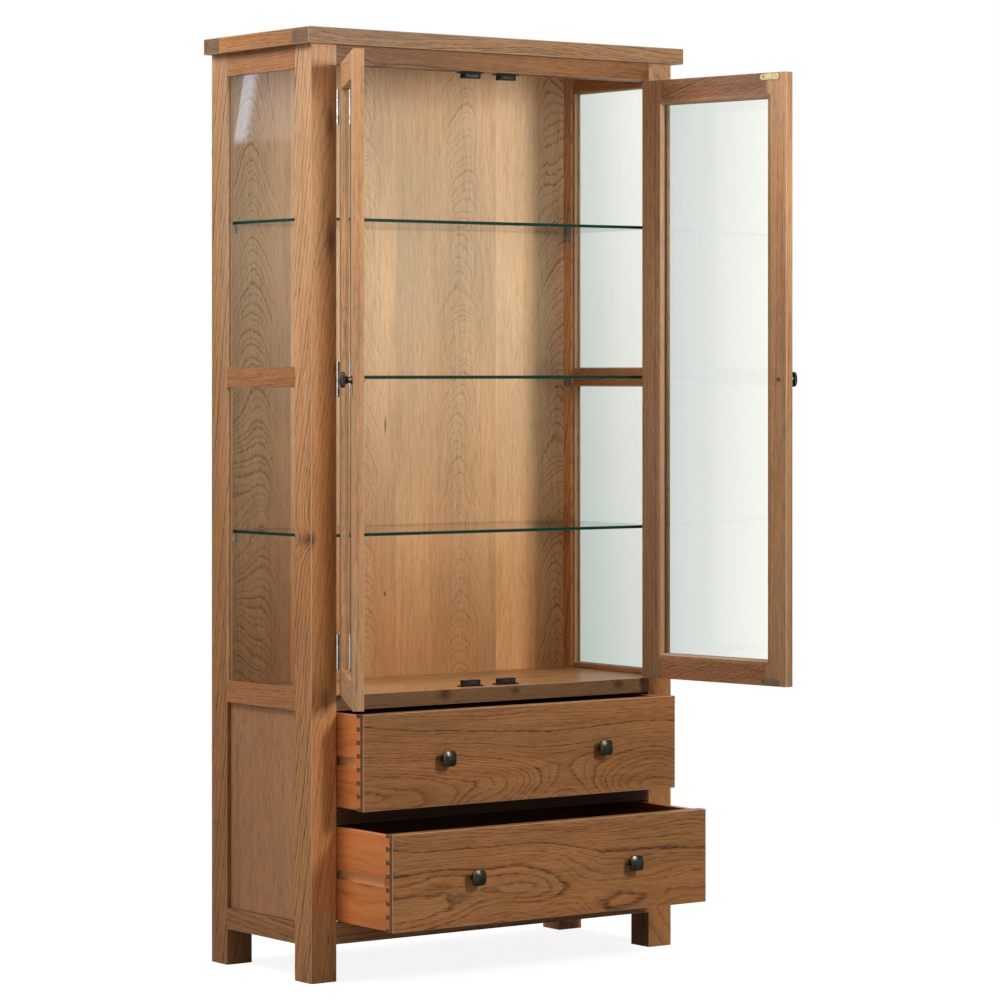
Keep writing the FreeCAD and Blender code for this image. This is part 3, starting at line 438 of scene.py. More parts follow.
def ring_darkness(graph, axes, figure, swell, ring_share):
    """How dark the growth rings are at a point."""
    place, ring_number = growth_rings(graph, axes, figure, swell)
    own = graph.remap(graph.random(ring_number), 0.0, 1.0, FAINTEST_RING_SHARE, 1.0)
    early = graph.times(graph.ramp(place, RING_STOPS), own)
    return graph.times(early, ring_share)


def wood_marks(graph, axes, figure, early, core):
    """The share of the dark colour, the pores and the short dashes."""
    pores = graph.stretched_noise(axes, PORE_CELLS, roughness=0.6)
    pores = graph.remap(pores, *PORE_LEVELS, smooth=True)
    pores = graph.times(pores, graph.fused(early, PORES_IN_RINGS, PORES_ANYWHERE))
    dashes = graph.stretched_noise(axes, figure.dash_cells, roughness=0.6)
    dashes = graph.remap(dashes, *DASH_LEVELS)
    fibres = graph.stretched_noise(axes, FIBRE_CELLS, detail=3.0, roughness=0.65)
    fibres = graph.remap(fibres, *SOFT_LEVELS, *FIBRE_SHARES)
    streaks = graph.stretched_noise(axes, figure.streak_cells, detail=3.0, roughness=0.6)
    streaks = graph.remap(streaks, *SOFT_LEVELS, -figure.streak, figure.streak)
    share = graph.times(early, graph.fused(dashes, RINGS_WITH_DASHES, RINGS_WITHOUT_DASHES))
    share = graph.fused(share, figure.contrast, core)
    share = graph.fused(dashes, figure.dash, share)
    share = graph.math("ADD", graph.plus(share, fibres), streaks, clamp=True)
    return share, pores, dashes


def wood_colour(graph, share, stain, level_along, light, dark, lower_shade):
    """The colour of the wood between its light and dark ends, with stained pores and knots, and
    painted shade toward its lower end.
    """
    light_end = light
    dark_end = dark
    # Painted shade: the board's colours darken toward its lower end
    if lower_shade:
        lower = graph.remap(level_along, lower_shade.level, lower_shade.level - lower_shade.drop, smooth=True)
        light_end = graph.mix(lower, light, lower_shade.light)
        dark_end = graph.mix(lower, dark, lower_shade.dark)
    pore_colour = tuple(PORE_COLOUR_SHARE * channel for channel in dark[:3]) + (1.0,)
    return graph.mix(stain, graph.mix(share, light_end, dark_end), pore_colour)


def board_tone(graph, axes, number, tones):
    """A tone of its own for each board, with soft patches."""
    own = graph.random(graph.plus(number, TONE_SHIFT))
    own = graph.remap(own, 0.0, 1.0, 1 - tones, 1 + tones)
    patches = graph.stretched_noise(axes, PATCH_CELLS)
    return graph.times(own, graph.remap(patches, *SOFT_LEVELS, *PATCH_TONES))


def corner_place(graph, places, corner):
    """How far a point lies toward one corner of the cabinet."""
    slope_y, slope_z = CORNER_SLOPES[corner]
    return graph.fused(places[2], slope_z, graph.fused(places[1], slope_y, places[0]))


def painted_light_tone(graph, places, tone, light_zones):
    """Painted light and shade: a tone that changes along the axes, or toward the corners, of the
    light zones.
    """
    for zone in light_zones:
        if zone.axis in "xyz":
            place = places["xyz".index(zone.axis)]
        else:
            place = corner_place(graph, places, zone.axis)
        change = graph.remap(place, zone.start, zone.end, zone.first_tone, zone.last_tone)
        tone = graph.times(tone, change)
    return tone


def inward_faces(graph, places, normal):
    """The share of the back right leg's faces that look into the cabinet, which get painted light.
    """
    lowest = graph.math("MINIMUM", normal[0], normal[1])
    inward = graph.remap(lowest, -FACE_LEVELS[1], -FACE_LEVELS[0], 1.0, 0.0)
    corner = corner_place(graph, places, "back_right")
    return graph.times(inward, graph.remap(corner, *BACK_RIGHT_LEG))


def light_stripe_share(graph, places, light_stripe):
    """Full between the two edges of a stripe of painted light."""
    place = places["xyz".index(light_stripe.axis)]
    past_start = graph.remap(place, light_stripe.start - SOFT_EDGE, light_stripe.start + SOFT_EDGE)
    before_end = graph.remap(place, light_stripe.end - SOFT_EDGE, light_stripe.end + SOFT_EDGE, 1.0, 0.0)
    return graph.times(past_start, before_end)


def wood(
    name,
    grain,
    light,
    dark,
    figure,
    splits=(),
    turn=0.0,
    tones=0.14,
    leaves=None,
    gloss=0.42,
    knots=(),
    lower_shade=None,
    light_zones=(),
    light_stripe=None,
    lit_edge_tone=1.0,
    inward_light_tone=1.0,
    front_ring_share=1.0,
):
    """An open-grained wood: rings, pores, streaks and a tone of its own for each board, with
    painted light and shade and a painted highlight on its arrises.

    The lit edge tone paints light on faces that look to +x while closed, the inward light tone
    paints light on the inner faces of the back right leg, and the front ring share is for faces
    that look to the front.
    """
    material, graph = new_material(name)
    axes, number = board_axes(graph, grain, turn, splits)
    level_along = axes[0]
    swell, core = knot_swell(graph, axes, knots)
    ring_share = 1.0
    leaf_tone_and_light = 1.0
    if leaves:
        axes, number, leaf_number = in_leaves(graph, axes, number, leaves, figure.slip)
        if leaves.calm_middle is not None:
            ring_share = leaf_ring_share(graph, axes[1], leaf_number, leaves)
        # Leaf tones, partly the veneer's own and partly painted light and shade
        for step in leaves.leaf_tone_and_light_steps:
            leaf_tone_and_light = graph.times(graph.remap(leaf_number, *step), leaf_tone_and_light)
    else:
        axes = staggered(graph, axes, number, figure.stagger)
    normal = graph.separate(graph.turned(graph.normal(), turn))
    if front_ring_share != 1.0:
        limits = (-FACE_LEVELS[1], -FACE_LEVELS[0])
        forward = graph.remap(normal[1], *limits, front_ring_share, 1.0)
        ring_share = graph.times(ring_share, forward)
    early = ring_darkness(graph, axes, figure, swell, ring_share)
    share, pores, dashes = wood_marks(graph, axes, figure, early, core)
    stain = graph.math("MAXIMUM", graph.times(pores, figure.pores), core)
    colour = wood_colour(graph, share, stain, level_along, light, dark, lower_shade)

    tone = board_tone(graph, axes, number, tones)
    end_facing = graph.math("ABSOLUTE", normal[GRAIN_ORDER[grain][0]])
    tone = graph.times(tone, graph.remap(end_facing, *END_GRAIN_LEVELS, 1.0, END_GRAIN_TONE))
    # Painted light on faces that look to +x while closed
    tone = graph.times(tone, graph.remap(normal[0], *FACE_LEVELS, 1.0, lit_edge_tone))
    places = graph.separate(graph.point())
    # Painted light and shade, zone by zone
    tone = painted_light_tone(graph, places, tone, light_zones)
    # Painted light on the inner faces of the back right leg
    if inward_light_tone != 1.0:
        inward = inward_faces(graph, places, normal)
        tone = graph.times(tone, graph.remap(inward, 0.0, 1.0, 1.0, inward_light_tone))
    tone = graph.times(tone, leaf_tone_and_light)
    colour = graph.shade(colour, tone)
    # Painted light: a paler stripe, such as the lit floor of a groove
    if light_stripe:
        light_stripe_colour = graph.shade(light_stripe.colour, tone)
        colour = graph.mix(light_stripe_share(graph, places, light_stripe), colour, light_stripe_colour)

    hue = graph.remap(graph.stretched_noise(axes, HUE_CELLS), *HUE_LEVELS)
    colour = graph.tinted(colour, graph.mix(hue, WARM_HUE, COOL_HUE))
    flattest = end_facing
    for direction in normal:
        flattest = graph.math("MAXIMUM", flattest, graph.math("ABSOLUTE", direction))
    # Painted highlight on rounded arrises, partly paler worn wood
    arris_highlight = graph.remap(flattest, *ARRIS_LEVELS, ARRIS_HIGHLIGHT_SHARE, 0.0)
    colour = graph.mix(arris_highlight, colour, ARRIS_HIGHLIGHT_COLOUR)
    relief = graph.fused(pores, -1.0, graph.times(dashes, DASH_RELIEF))
    graph.finish(
        graph.surface(
            {
                "Base Color": colour,
                "Roughness": graph.fused(share, DARK_ROUGHNESS, gloss),
                "Normal": graph.bump(relief, WOOD_RELIEF, WOOD_RELIEF_DEPTH),
                "Specular IOR Level": WOOD_SHINE,
            }
        )
    )
    return material


# Light and dark ends of the oak on the doors, on fronts and rails, and on the back panel
OAK_LIGHT = display_colour(196, 148, 107)
OAK_DARK = display_colour(97, 60, 36)
FRONT_LIGHT = display_colour(188, 128, 76)
FRONT_DARK = display_colour(84, 47, 20)
PANEL_LIGHT = display_colour(242, 207, 167)
PANEL_DARK = display_colour(178, 130, 86)

SLASH = Figure(
    ring=0.0072,
    pith=(0.5, -0.75),
    wander=0.035,
    climb=0.13,
    sway_cells=(1.3, 5.0, 5.0),
    ragged=0.7,
    stagger=0.11,
    contrast=1.1,
    dash=0.14,
)
STRAIGHT = Figure(
    ring=0.0046,
    pith=(0.16, 0.05),
    wander=0.012,
    lean=(0.012, 0.02),
    ragged=0.4,
    contrast=0.7,
)
RAIL_FIGURE = Figure(
    ring=0.0046,
    pith=(0.01, 0.06),
    wander=0.02,
    lean=(0.05, 0.03),
    ragged=0.4,
)
CATHEDRAL = Figure(
    ring=0.0056,
    pith=(0.02, 0.055),
    wander=0.04,
    lean=(0.02, 0.05),
    sway_cells=(2.4, 7.0, 7.0),
    ragged=0.4,
    stagger=0.031,
)
DRAWER_FIGURE = Figure(
    ring=0.0044,
    pith=(-0.05, -0.20),
    wander=0.055,
    lean=(0.02, 0.0),
    climb=0.03,
    sway_cells=(2.6, 7.0, 7.0),
    ragged=0.8,
    ragged_cells=(22.0, 70.0, 70.0),
    slip=1.37,
    contrast=0.88,
)
BACK_FIGURE = Figure(
    ring=0.0034,
    pith=(0.0, 0.042),
    wander=0.06,
    climb=0.2,
    sway_cells=(2.6, 7.0, 7.0),
    ragged=0.8,
    ragged_cells=(40.0, 150.0, 150.0),
    slip=0.31,
    contrast=1.1,
    dash=0.2,
    streak=0.08,
    pores=0.4,
    dash_cells=(40.0, 460.0, 460.0),
    streak_cells=(1.6, 60.0, 60.0),
)
PANEL_FIGURE = Figure(
    ring=0.0052,
    pith=(0.0, 0.05),
    wander=0.03,
    lean=(0.0, 0.02),
    climb=0.05,
    contrast=0.2,
    dash=0.38,
    streak=0.12,
)
PINE_FIGURE = Figure(
    ring=0.0125,
    pith=(0.05, 0.06),
    wander=0.05,
    lean=(0.03, 0.02),
    sway_cells=(3.0, 9.0, 9.0),
    ragged=0.25,
    contrast=0.6,
    dash=0.05,
    streak=0.3,
    pores=0.05,
    streak_cells=(1.4, 42.0, 42.0),
)

upright_oak = wood(
    "oak_upright",
    grain="z",
    light=display_colour(197, 151, 110),
    dark=display_colour(106, 68, 43),
    figure=SLASH,
    splits=[("x", 0.0), ("y", 0.0)],
    # Painted shade: darker, more orange colours lower down
    lower_shade=LowerShade(1.65, 0.9, display_colour(192, 132, 82), display_colour(92, 54, 28)),
    # Painted light and shade: darker feet, lighter front faces, front legs lighter than back legs,
    # the front right leg darker but lighter toward its top
    light_zones=[
        LightZone("z", 0.04, 0.16, 0.92, 1.0),
        LightZone("y", FRONT_PLANE + 0.0003, FRONT_PLANE + 0.0007, 1.2, 1.0),
        LightZone("y", -0.05, 0.05, 1.12, 0.96),
        LightZone("front_right", 0.4, 0.6, 1.0, 0.8),
        LightZone("front_right_top", 1.17, 1.27, 1.0, 1.36),
        LightZone("front_right_top", 1.325, 1.345, 1.0, 0.76),
    ],
    # Painted light on the back right leg's inner faces
    inward_light_tone=1.7,
    front_ring_share=0.5,
    knots=[
        Knot(1.617, -0.388, -0.178, 0.07, 0.018, bend=2.0, darkness=0.35),
        Knot(1.40, -0.388, -0.178, 0.08, 0.022, bend=2.0, darkness=0.4),
        Knot(0.835, -0.43, -0.178, 0.03, 0.016, bend=2.5, darkness=0.45),
        Knot(0.531, -0.40, -0.178, 0.05, 0.02, bend=2.0, darkness=0.4),
    ],
)
cross_oak = wood(
    "oak_cross",
    grain="x",
    light=FRONT_LIGHT,
    dark=FRONT_DARK,
    figure=RAIL_FIGURE,
    splits=[("z", 0.2), ("z", 0.5), ("z", 1.0)],
    # Painted shade: the top rails darker, and darker toward the left
    light_zones=[LightZone("z", 1.0, 1.1, 1.0, 0.78), LightZone("x", -0.3, 0.3, 0.97, 1.0)],
    knots=[Knot(-0.27, 1.735, -0.16, 0.03, 0.012, bend=2.0, darkness=0.4)],
)
side_oak = wood(
    "oak_side_rail",
    grain="y",
    light=display_colour(196, 134, 84),
    dark=display_colour(104, 58, 28),
    figure=RAIL_FIGURE,
    splits=[("x", 0.0), ("z", 0.2), ("z", 0.8), ("z", 1.5)],
    # Painted light and shade: darkest at the bottom rail, lighter above, darker again at the top
    # rail
    light_zones=[
        LightZone("z", 0.2, 0.3, 0.76, 0.9),
        LightZone("z", 0.9, 1.0, 1.0, 1.1),
        LightZone("z", 1.4, 1.6, 1.0, 0.84),
    ],
)
top_long_oak = wood(
    "oak_top_long",
    grain="x",
    light=display_colour(194, 148, 106),
    dark=display_colour(84, 54, 34),
    figure=CATHEDRAL._replace(
        ring=0.0046, wander=0.07, sway_cells=(3.6, 9.0, 9.0), contrast=1.0
    ),
    splits=[("y", 0.0)],
    # Painted shade: darker toward the left
    light_zones=[LightZone("x", -0.2, 0.2, 0.79, 0.98)],
)
top_side_oak = wood(
    "oak_top_side",
    grain="y",
    light=FRONT_LIGHT,
    dark=FRONT_DARK,
    figure=CATHEDRAL,
    splits=[("x", 0.0)],
    # Painted shade: the left lipping darker
    light_zones=[LightZone("x", -0.1, 0.1, 0.84, 1.0)],
)
back_veneer = wood(
    "oak_back_veneer",
    grain="z",
    light=PANEL_LIGHT,
    dark=PANEL_DARK,
    figure=BACK_FIGURE,
    leaves=Leaves(
        width=0.249,
        seam=-0.262,
        heart=0.160,
        calm_middle=0.5,
        calm_share=0.55,
        # The far left leaf darker as painted shade; the right leaf lighter, partly its own tone and
        # partly painted light
        leaf_tone_and_light_steps=((-1.0, 0.0, 0.78, 1.0), (1.0, 2.0, 1.0, 1.27)),
    ),
    tones=0.035,
    # Painted shade: darker colours lower down
    lower_shade=LowerShade(1.5, 0.95, display_colour(206, 152, 102), display_colour(136, 84, 48)),
    knots=[
        Knot(1.045, -0.038, 0.154, 0.03, 0.004, bend=0.0, darkness=1.0),
        Knot(0.706, -0.039, 0.154, 0.008, 0.006, bend=1.0, darkness=1.2),
    ],
)
side_veneer = wood(
    "oak_side_veneer",
    grain="z",
    light=display_colour(190, 136, 94),
    dark=display_colour(126, 80, 50),
    figure=PANEL_FIGURE,
    splits=[("x", 0.0)],
    tones=0.05,
)
deck_oak = wood(
    "oak_deck",
    grain="x",
    light=display_colour(194, 144, 98),
    dark=display_colour(134, 87, 51),
    figure=CATHEDRAL,
    tones=0.05,
    gloss=0.34,
    # Painted shade: the deck's front face darker
    light_zones=[LightZone("y", FRONT_PLANE, FRONT_PLANE + 0.001, 0.47, 1.0)],
    knots=[
        Knot(-0.124, 0.53, -0.18, 0.03, 0.02, bend=3.0, darkness=0.7),
        Knot(0.044, 0.53, -0.18, 0.02, 0.014, bend=3.0, darkness=0.6),
        Knot(0.298, 0.53, -0.18, 0.024, 0.016, bend=3.0, darkness=0.7),
    ],
)
drawer_oak = wood(
    "oak_drawer_front",
    grain="x",
    light=FRONT_LIGHT,
    dark=FRONT_DARK,
    figure=DRAWER_FIGURE,
    leaves=Leaves(width=0.2155, seam=0.0955, heart=0.11),
    tones=0.05,
    # Painted shade: the upper drawer, and the right, a little darker
    light_zones=[LightZone("z", 0.3, 0.34, 1.0, 0.94), LightZone("x", -0.2, 0.4, 1.0, 0.97)],
    knots=[
        Knot(0.105, 0.33, -0.285, 0.12, 0.08, bend=9.0, darkness=0.0),
        Knot(0.33, 0.40, -0.285, 0.09, 0.05, bend=-4.0, darkness=0.0),
        Knot(-0.12, 0.098, -0.384, 0.09, 0.05, bend=6.0, darkness=0.0),
        Knot(0.03, 0.09, -0.384, 0.06, 0.05, bend=6.0, darkness=0.0),
    ],
)

# Angles that bring the open doors back to their closed place
LEFT_DOOR_TURN = 120
RIGHT_DOOR_TURN = -100

stile_oak = wood(
    "oak_door_stile",
    grain="z",
    light=OAK_LIGHT,
    dark=OAK_DARK,
    figure=STRAIGHT,
    splits=[("x", -0.42), ("x", 0.42)],
    # Painted light and shade: the meeting stile lighter and the hinge stile darker, darker lower
    # down and lighter at the top
    light_zones=[
        LightZone("y", -0.45, -0.35, 1.25, 0.78),
        LightZone("z", 0.8, 1.4, 0.8, 1.0),
        LightZone("z", 1.2, 1.5, 1.0, 1.12),
    ],
)
left_stile_oak = wood(
    "oak_left_door_stile",
    grain="z",
    light=OAK_LIGHT,
    dark=OAK_DARK,
    figure=STRAIGHT._replace(contrast=0.4, streak=0.1),
    turn=LEFT_DOOR_TURN,
    # Painted light and shade: a lighter edge to +x when closed, a lighter meeting stile, darker
    # lower down
    lit_edge_tone=1.5,
    light_zones=[LightZone("y", -0.45, -0.35, 1.25, 1.0), LightZone("z", 0.7, 1.4, 0.71, 1.0)],
)
left_rail_oak = wood(
    "oak_left_door_rail",
    grain="x",
    light=OAK_LIGHT,
    dark=OAK_DARK,
    figure=RAIL_FIGURE,
    turn=LEFT_DOOR_TURN,
    splits=[("z", 1.1)],
)
right_rail_oak = wood(
    "oak_right_door_rail",
    grain="x",
    light=display_colour(182, 127, 90),
    dark=display_colour(78, 43, 29),
    figure=RAIL_FIGURE._replace(climb=0.22, ragged=0.8, contrast=1.0),
    turn=RIGHT_DOOR_TURN,
    splits=[("z", 1.1)],
    # Painted shade: the top rail darker
    light_zones=[LightZone("z", 1.0, 1.2, 1.0, 0.74)],
)

# Depths in a drawer's side from its outer face: painted shade on its inner face sets in between
# the first two, and its groove, painted paler as light, lies between the others
INNER_SHADE_START = 0.0140
INNER_SHADE_END = 0.0145
GROOVE_START = 0.0045
GROOVE_END = 0.0100

pine = wood(
    "pine_side",
    grain="y",
    light=display_colour(234, 142, 78),
    dark=display_colour(184, 84, 36),
    figure=PINE_FIGURE,
    splits=[("x", 0.0), ("z", 0.31)],
    tones=0.05,
    # Painted shade: the inner faces of the drawer sides darker
    light_zones=[
        LightZone("x", INNER_SHADE_START - DRAWER_SIDE_FACE, INNER_SHADE_END - DRAWER_SIDE_FACE, 1.0, 0.4),
        LightZone("x", DRAWER_SIDE_FACE - INNER_SHADE_END, DRAWER_SIDE_FACE - INNER_SHADE_START, 1.0, 2.5),
    ],
    # Painted light: the floor of the groove paler
    light_stripe=LightStripe(
        "x",
        GROOVE_START - DRAWER_SIDE_FACE,
        GROOVE_END - DRAWER_SIDE_FACE,
        display_colour(240, 184, 126),
    ),
)
# Painted shade: a dark brown for the drawer backs, bottoms and divider rail, which lie in shade
shaded_inner_wood = wood(
    "shaded_inner_wood",
    grain="x",
    light=display_colour(96, 64, 42),
    dark=display_colour(66, 42, 26),
    figure=PINE_FIGURE,
    splits=[("z", 0.31)],
    tones=0.05,
)


# Metal, plastic and glass

BRUSH_CELLS = (900.0, 900.0, 120.0)
WEAR_LEVELS = (0.35, 0.7)
SCRATCH_SHARE = 0.3
SPOT_LEVELS = (0.6, 0.72)
# A metal's painted shade fades out over this height above its shaded level
SHADED_METAL_BLEND = 0.05
POLISH_SPREAD = 0.22
BRUSH_ROUGHNESS = 0.08
BRUSH_RELIEF = 0.12
FINE_RELIEF_DEPTH = 0.0001


def metal(name, colour, roughness, stain, shaded_level=None, shaded_colour=None):
    """A metal with fine wear and uneven polish; below a level its pieces take a darker painted
    shade colour, for the darker reflections they catch.
    """
    material, graph = new_material(name)
    point = graph.point()
    places = graph.separate(point)
    cloud = graph.noise(point, scale=90.0, detail=3.0, roughness=0.6)
    brushed = graph.stretched_noise(places, BRUSH_CELLS)
    spots = graph.remap(graph.noise(point, scale=420.0), *SPOT_LEVELS)
    # Painted shade on the pieces below the shaded level
    if shaded_level is not None:
        above = graph.remap(places[2], shaded_level, shaded_level + SHADED_METAL_BLEND)
        colour = graph.mix(above, shaded_colour, colour)
    shade = graph.mix(graph.remap(cloud, *WEAR_LEVELS), colour, stain)
    shade = graph.mix(graph.times(spots, SCRATCH_SHARE), shade, stain)
    rough = graph.fused(cloud, POLISH_SPREAD, roughness - POLISH_SPREAD / 2)
    graph.finish(
        graph.surface(
            {
                "Base Color": shade,
                "Metallic": 1.0,
                "Roughness": graph.fused(brushed, BRUSH_ROUGHNESS, rough),
                "Normal": graph.bump(brushed, BRUSH_RELIEF, FINE_RELIEF_DEPTH),
            }
        )
    )
    return material


pewter = metal(
    "dark_pewter",
    colour=display_colour(96, 94, 84),
    roughness=0.27,
    stain=display_colour(52, 50, 42),
)
nickel = metal(
    "nickel_steel",
    colour=display_colour(226, 224, 218),
    roughness=0.22,
    stain=display_colour(178, 172, 162),
    # Painted shade: hinges below this level darker
    shaded_level=1.3,
    shaded_colour=display_colour(136, 136, 134),
)
plated = metal(
    "plated_steel",
    colour=display_colour(206, 192, 152),
    roughness=0.28,
    stain=display_colour(160, 142, 104),
    # Painted shade: strike plates below this level darker and greyer
    shaded_level=0.9,
    shaded_colour=display_colour(150, 152, 150),
)
screw_steel = metal(
    "screw_steel",
    colour=display_colour(166, 162, 152),
    roughness=0.3,
    stain=display_colour(92, 86, 78),
)


PLASTIC_TONES = (0.85, 1.15)
PLASTIC_ROUGHNESS_SPREAD = 0.15
PLASTIC_RELIEF = 0.15


def plastic(name, colour, roughness, clearness=0.0):
    """A moulded plastic with a fine grain."""
    material, graph = new_material(name)
    point = graph.point()
    grain = graph.noise(point, scale=1500.0)
    cloud = graph.noise(point, scale=60.0)
    tone = graph.remap(cloud, *SOFT_LEVELS, *PLASTIC_TONES)
    graph.finish(
        graph.surface(
            {
                "Base Color": graph.shade(colour, tone),
                "Roughness": graph.fused(cloud, PLASTIC_ROUGHNESS_SPREAD, roughness),
                "Transmission Weight": clearness,
                "Normal": graph.bump(grain, PLASTIC_RELIEF, FINE_RELIEF_DEPTH),
            }
        )
    )
    return material


black_plastic = plastic("black_plastic", display_colour(22, 20, 19), roughness=0.16)
clear_plastic = plastic(
    "clear_plastic", display_colour(206, 206, 202), roughness=0.1, clearness=0.7
)


class LightFade(NamedTuple):
    """Painted light and shade in glass: a tint that changes between two places on an axis."""

    axis: str
    start: float
    end: float
    first_tint: tuple
    last_tint: tuple


# How upright the normal is where a cut edge turns into the face of the glass
EDGE_LEVELS = (0.93, 0.99)
EDGE_ROUGHNESS = 0.25
EDGE_CLEARNESS = 0.1
GLASS_INDEX = 1.5
FILM_TONES = (0.985, 1.0)


def glass(name, tint, edge=None, shine=0.5, shadow=0.95, light_fades=()):
    """Clear glass that lets lamp light through, with a deep colour at its cut edges and painted
    light and shade in its tint.
    """
    material, graph = new_material(name)
    film = graph.noise(graph.point(), scale=6.0)
    colour = graph.shade(tint, graph.remap(film, *SOFT_LEVELS, *FILM_TONES))
    places = graph.separate(graph.point())
    # Painted light and shade: the tint darkens and lightens across the glass
    for fade in light_fades:
        share = graph.remap(places["xyz".index(fade.axis)], fade.start, fade.end)
        colour = graph.tinted(colour, graph.mix(share, fade.first_tint, fade.last_tint))
    rough = 0.0
    clear = 1.0
    if edge:
        upright = graph.math("ABSOLUTE", graph.separate(graph.normal())[2])
        at_edge = graph.remap(upright, *EDGE_LEVELS, 1.0, 0.0)
        colour = graph.mix(at_edge, colour, edge)
        rough = graph.times(at_edge, EDGE_ROUGHNESS)
        clear = graph.remap(at_edge, 0.0, 1.0, 1.0, EDGE_CLEARNESS)
    body = graph.surface(
        {
            "Base Color": colour,
            "Roughness": rough,
            "Transmission Weight": clear,
            "IOR": GLASS_INDEX,
            "Specular IOR Level": shine,
        }
    )
    shadow_colour = (shadow, shadow, shadow, 1.0)
    through = graph.add("ShaderNodeBsdfTransparent", {"Color": shadow_colour}).outputs[0]
    is_shadow = graph.add("ShaderNodeLightPath").outputs["Is Shadow Ray"]
    mixed = graph.add("ShaderNodeMixShader", {0: is_shadow, 1: body, 2: through})
    graph.finish(mixed.outputs[0])
    return material


pane_glass = glass(
    "pane_glass",
    tint=(1.0, 1.0, 0.985, 1.0),
    # Painted shade: darker toward the back and lower down, with a painted warmer tint toward the
    # left
    light_fades=[
        LightFade("y", 0.12, -0.13, (0.7, 0.775, 0.735, 1.0), (0.98, 1.0, 0.985, 1.0)),
        LightFade("z", 0.6, 1.7, (0.76, 0.8, 0.785, 1.0), WHITE),
        LightFade("x", -0.1, 0.1, (1.1, 0.98, 0.96, 1.0), WHITE),
    ],
)
door_glass = glass(
    "door_glass",
    tint=(0.98, 1.0, 0.975, 1.0),
    shine=0.2,
    shadow=0.35,
    # Painted shade: darker toward the hinge
    light_fades=[LightFade("y", -0.24, -0.5, (0.68, 0.735, 0.725, 1.0), (1.0, 1.0, 0.955, 1.0))],
)
shelf_glass = glass(
    "shelf_glass",
    tint=(0.955, 0.985, 0.97, 1.0),
    edge=display_colour(2, 62, 50),
    shine=0.2,
)


# Which material each piece has

FINISHES = {
    upright_oak: ["leg_front_left", "leg_front_right", "leg_back_left", "leg_back_right"],
    cross_oak: ["front_top_rail", "front_bottom_rail", "back_rails"],
    side_oak: [f"side_{place}_rails" for place in ("bottom", "lower", "middle", "top")],
    top_long_oak: ["top_front_lipping", "top_back_lipping"],
    top_side_oak: ["top_side_lippings"],
    back_veneer: ["upper_back_panel"],
    side_veneer: [
        "side_panels",
        "lower_back_panel",
        "left_door_beads",
        "right_door_beads",
        "side_glazing_beads",
    ],
    deck_oak: ["deck", "top_centre_panel"],
    drawer_oak: ["upper_drawer_front", "lower_drawer_front"],
    left_stile_oak: ["left_door_hinge_stile", "left_door_meeting_stile"],
    stile_oak: ["right_door_hinge_stile", "right_door_meeting_stile"],
    left_rail_oak: ["left_door_rails"],
    right_rail_oak: ["right_door_rails"],
    pine: ["upper_drawer_sides", "lower_drawer_sides", "drawer_runners"],
    shaded_inner_wood: [
        "drawer_divider_rail",
        "upper_drawer_back",
        "lower_drawer_back",
        "upper_drawer_bottom",
        "lower_drawer_bottom",
    ],
    pane_glass: ["side_glass"],
    door_glass: ["left_door_glass", "right_door_glass"],
    shelf_glass: ["glass_shelves"],
    pewter: [
        "left_door_knob",
        "right_door_knob",
        "upper_drawer_knobs",
        "lower_drawer_knobs",
        "catch_magnets",
    ],
    nickel: [
        "frame_hinge_leaves",
        "left_door_hinge_leaves",
        "right_door_hinge_leaves",
        "hinge_pins",
    ],
    plated: ["left_door_strike_plates", "right_door_strike_plates"],
    screw_steel: [
        "carcass_screws",
        "left_door_screws",
        "right_door_screws",
        "upper_drawer_knob_screws",
        "lower_drawer_knob_screws",
    ],
    black_plastic: ["catch_cases"],
    clear_plastic: ["shelf_supports"],
}

for material, names in FINISHES.items():
    for name in names:
        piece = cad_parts[name]
        if not piece.material_slots:
            piece.data.materials.append(material)
        for material_slot in piece.material_slots:
            material_slot.material = material


# Floor and world

FLOOR_RADIUS = 2.6
FLOOR_SIDES = 96
FLOOR_GREY = (0.4, 0.4, 0.4, 1.0)
FLOOR_TONES = (0.98, 1.02)
FLOOR_ROUGHNESS = 0.9
FLOOR_SHINE = 0.1
# What the floor gives off, where it is seen straight or through glass
FLOOR_GLOW = 0.88


def make_floor():
    """A round pale floor that keeps the cabinet's shadow."""
    bpy.ops.mesh.primitive_circle_add(
        vertices=FLOOR_SIDES, radius=FLOOR_RADIUS, fill_type="NGON"
    )
    floor = bpy.context.object
    floor.name = "floor"
    material, graph = new_material("pale_floor")
    cloud = graph.noise(graph.point(), scale=3.0)
    tint = graph.shade(FLOOR_GREY, graph.remap(cloud, *SOFT_LEVELS, *FLOOR_TONES))
    body = graph.surface(
        {"Base Color": tint, "Roughness": FLOOR_ROUGHNESS, "Specular IOR Level": FLOOR_SHINE}
    )
    rays = graph.add("ShaderNodeLightPath").outputs
    direct = graph.math("MAXIMUM", rays["Is Camera Ray"], rays["Is Transmission Ray"])
    glow_inputs = {"Color": WHITE, "Strength": graph.times(direct, FLOOR_GLOW)}
    glow = graph.add("ShaderNodeEmission", glow_inputs).outputs[0]
    graph.finish(graph.add("ShaderNodeAddShader", {0: body, 1: glow}).outputs[0])
    floor.data.materials.append(material)


# In the world's directions x runs to the right, y to the back and z up.
# Soft light: its least level, and what comes from the left, the front and above
SOFT_LEAST = 0.06
SOFT_FROM_LEFT = 0.95
SOFT_FROM_FRONT = 0.19
SOFT_FROM_ABOVE = 0.14
SOFT_BLUE = 1.02
# The light from the left is only there behind the cabinet
BEHIND_LEVELS = (-0.15, 0.25)

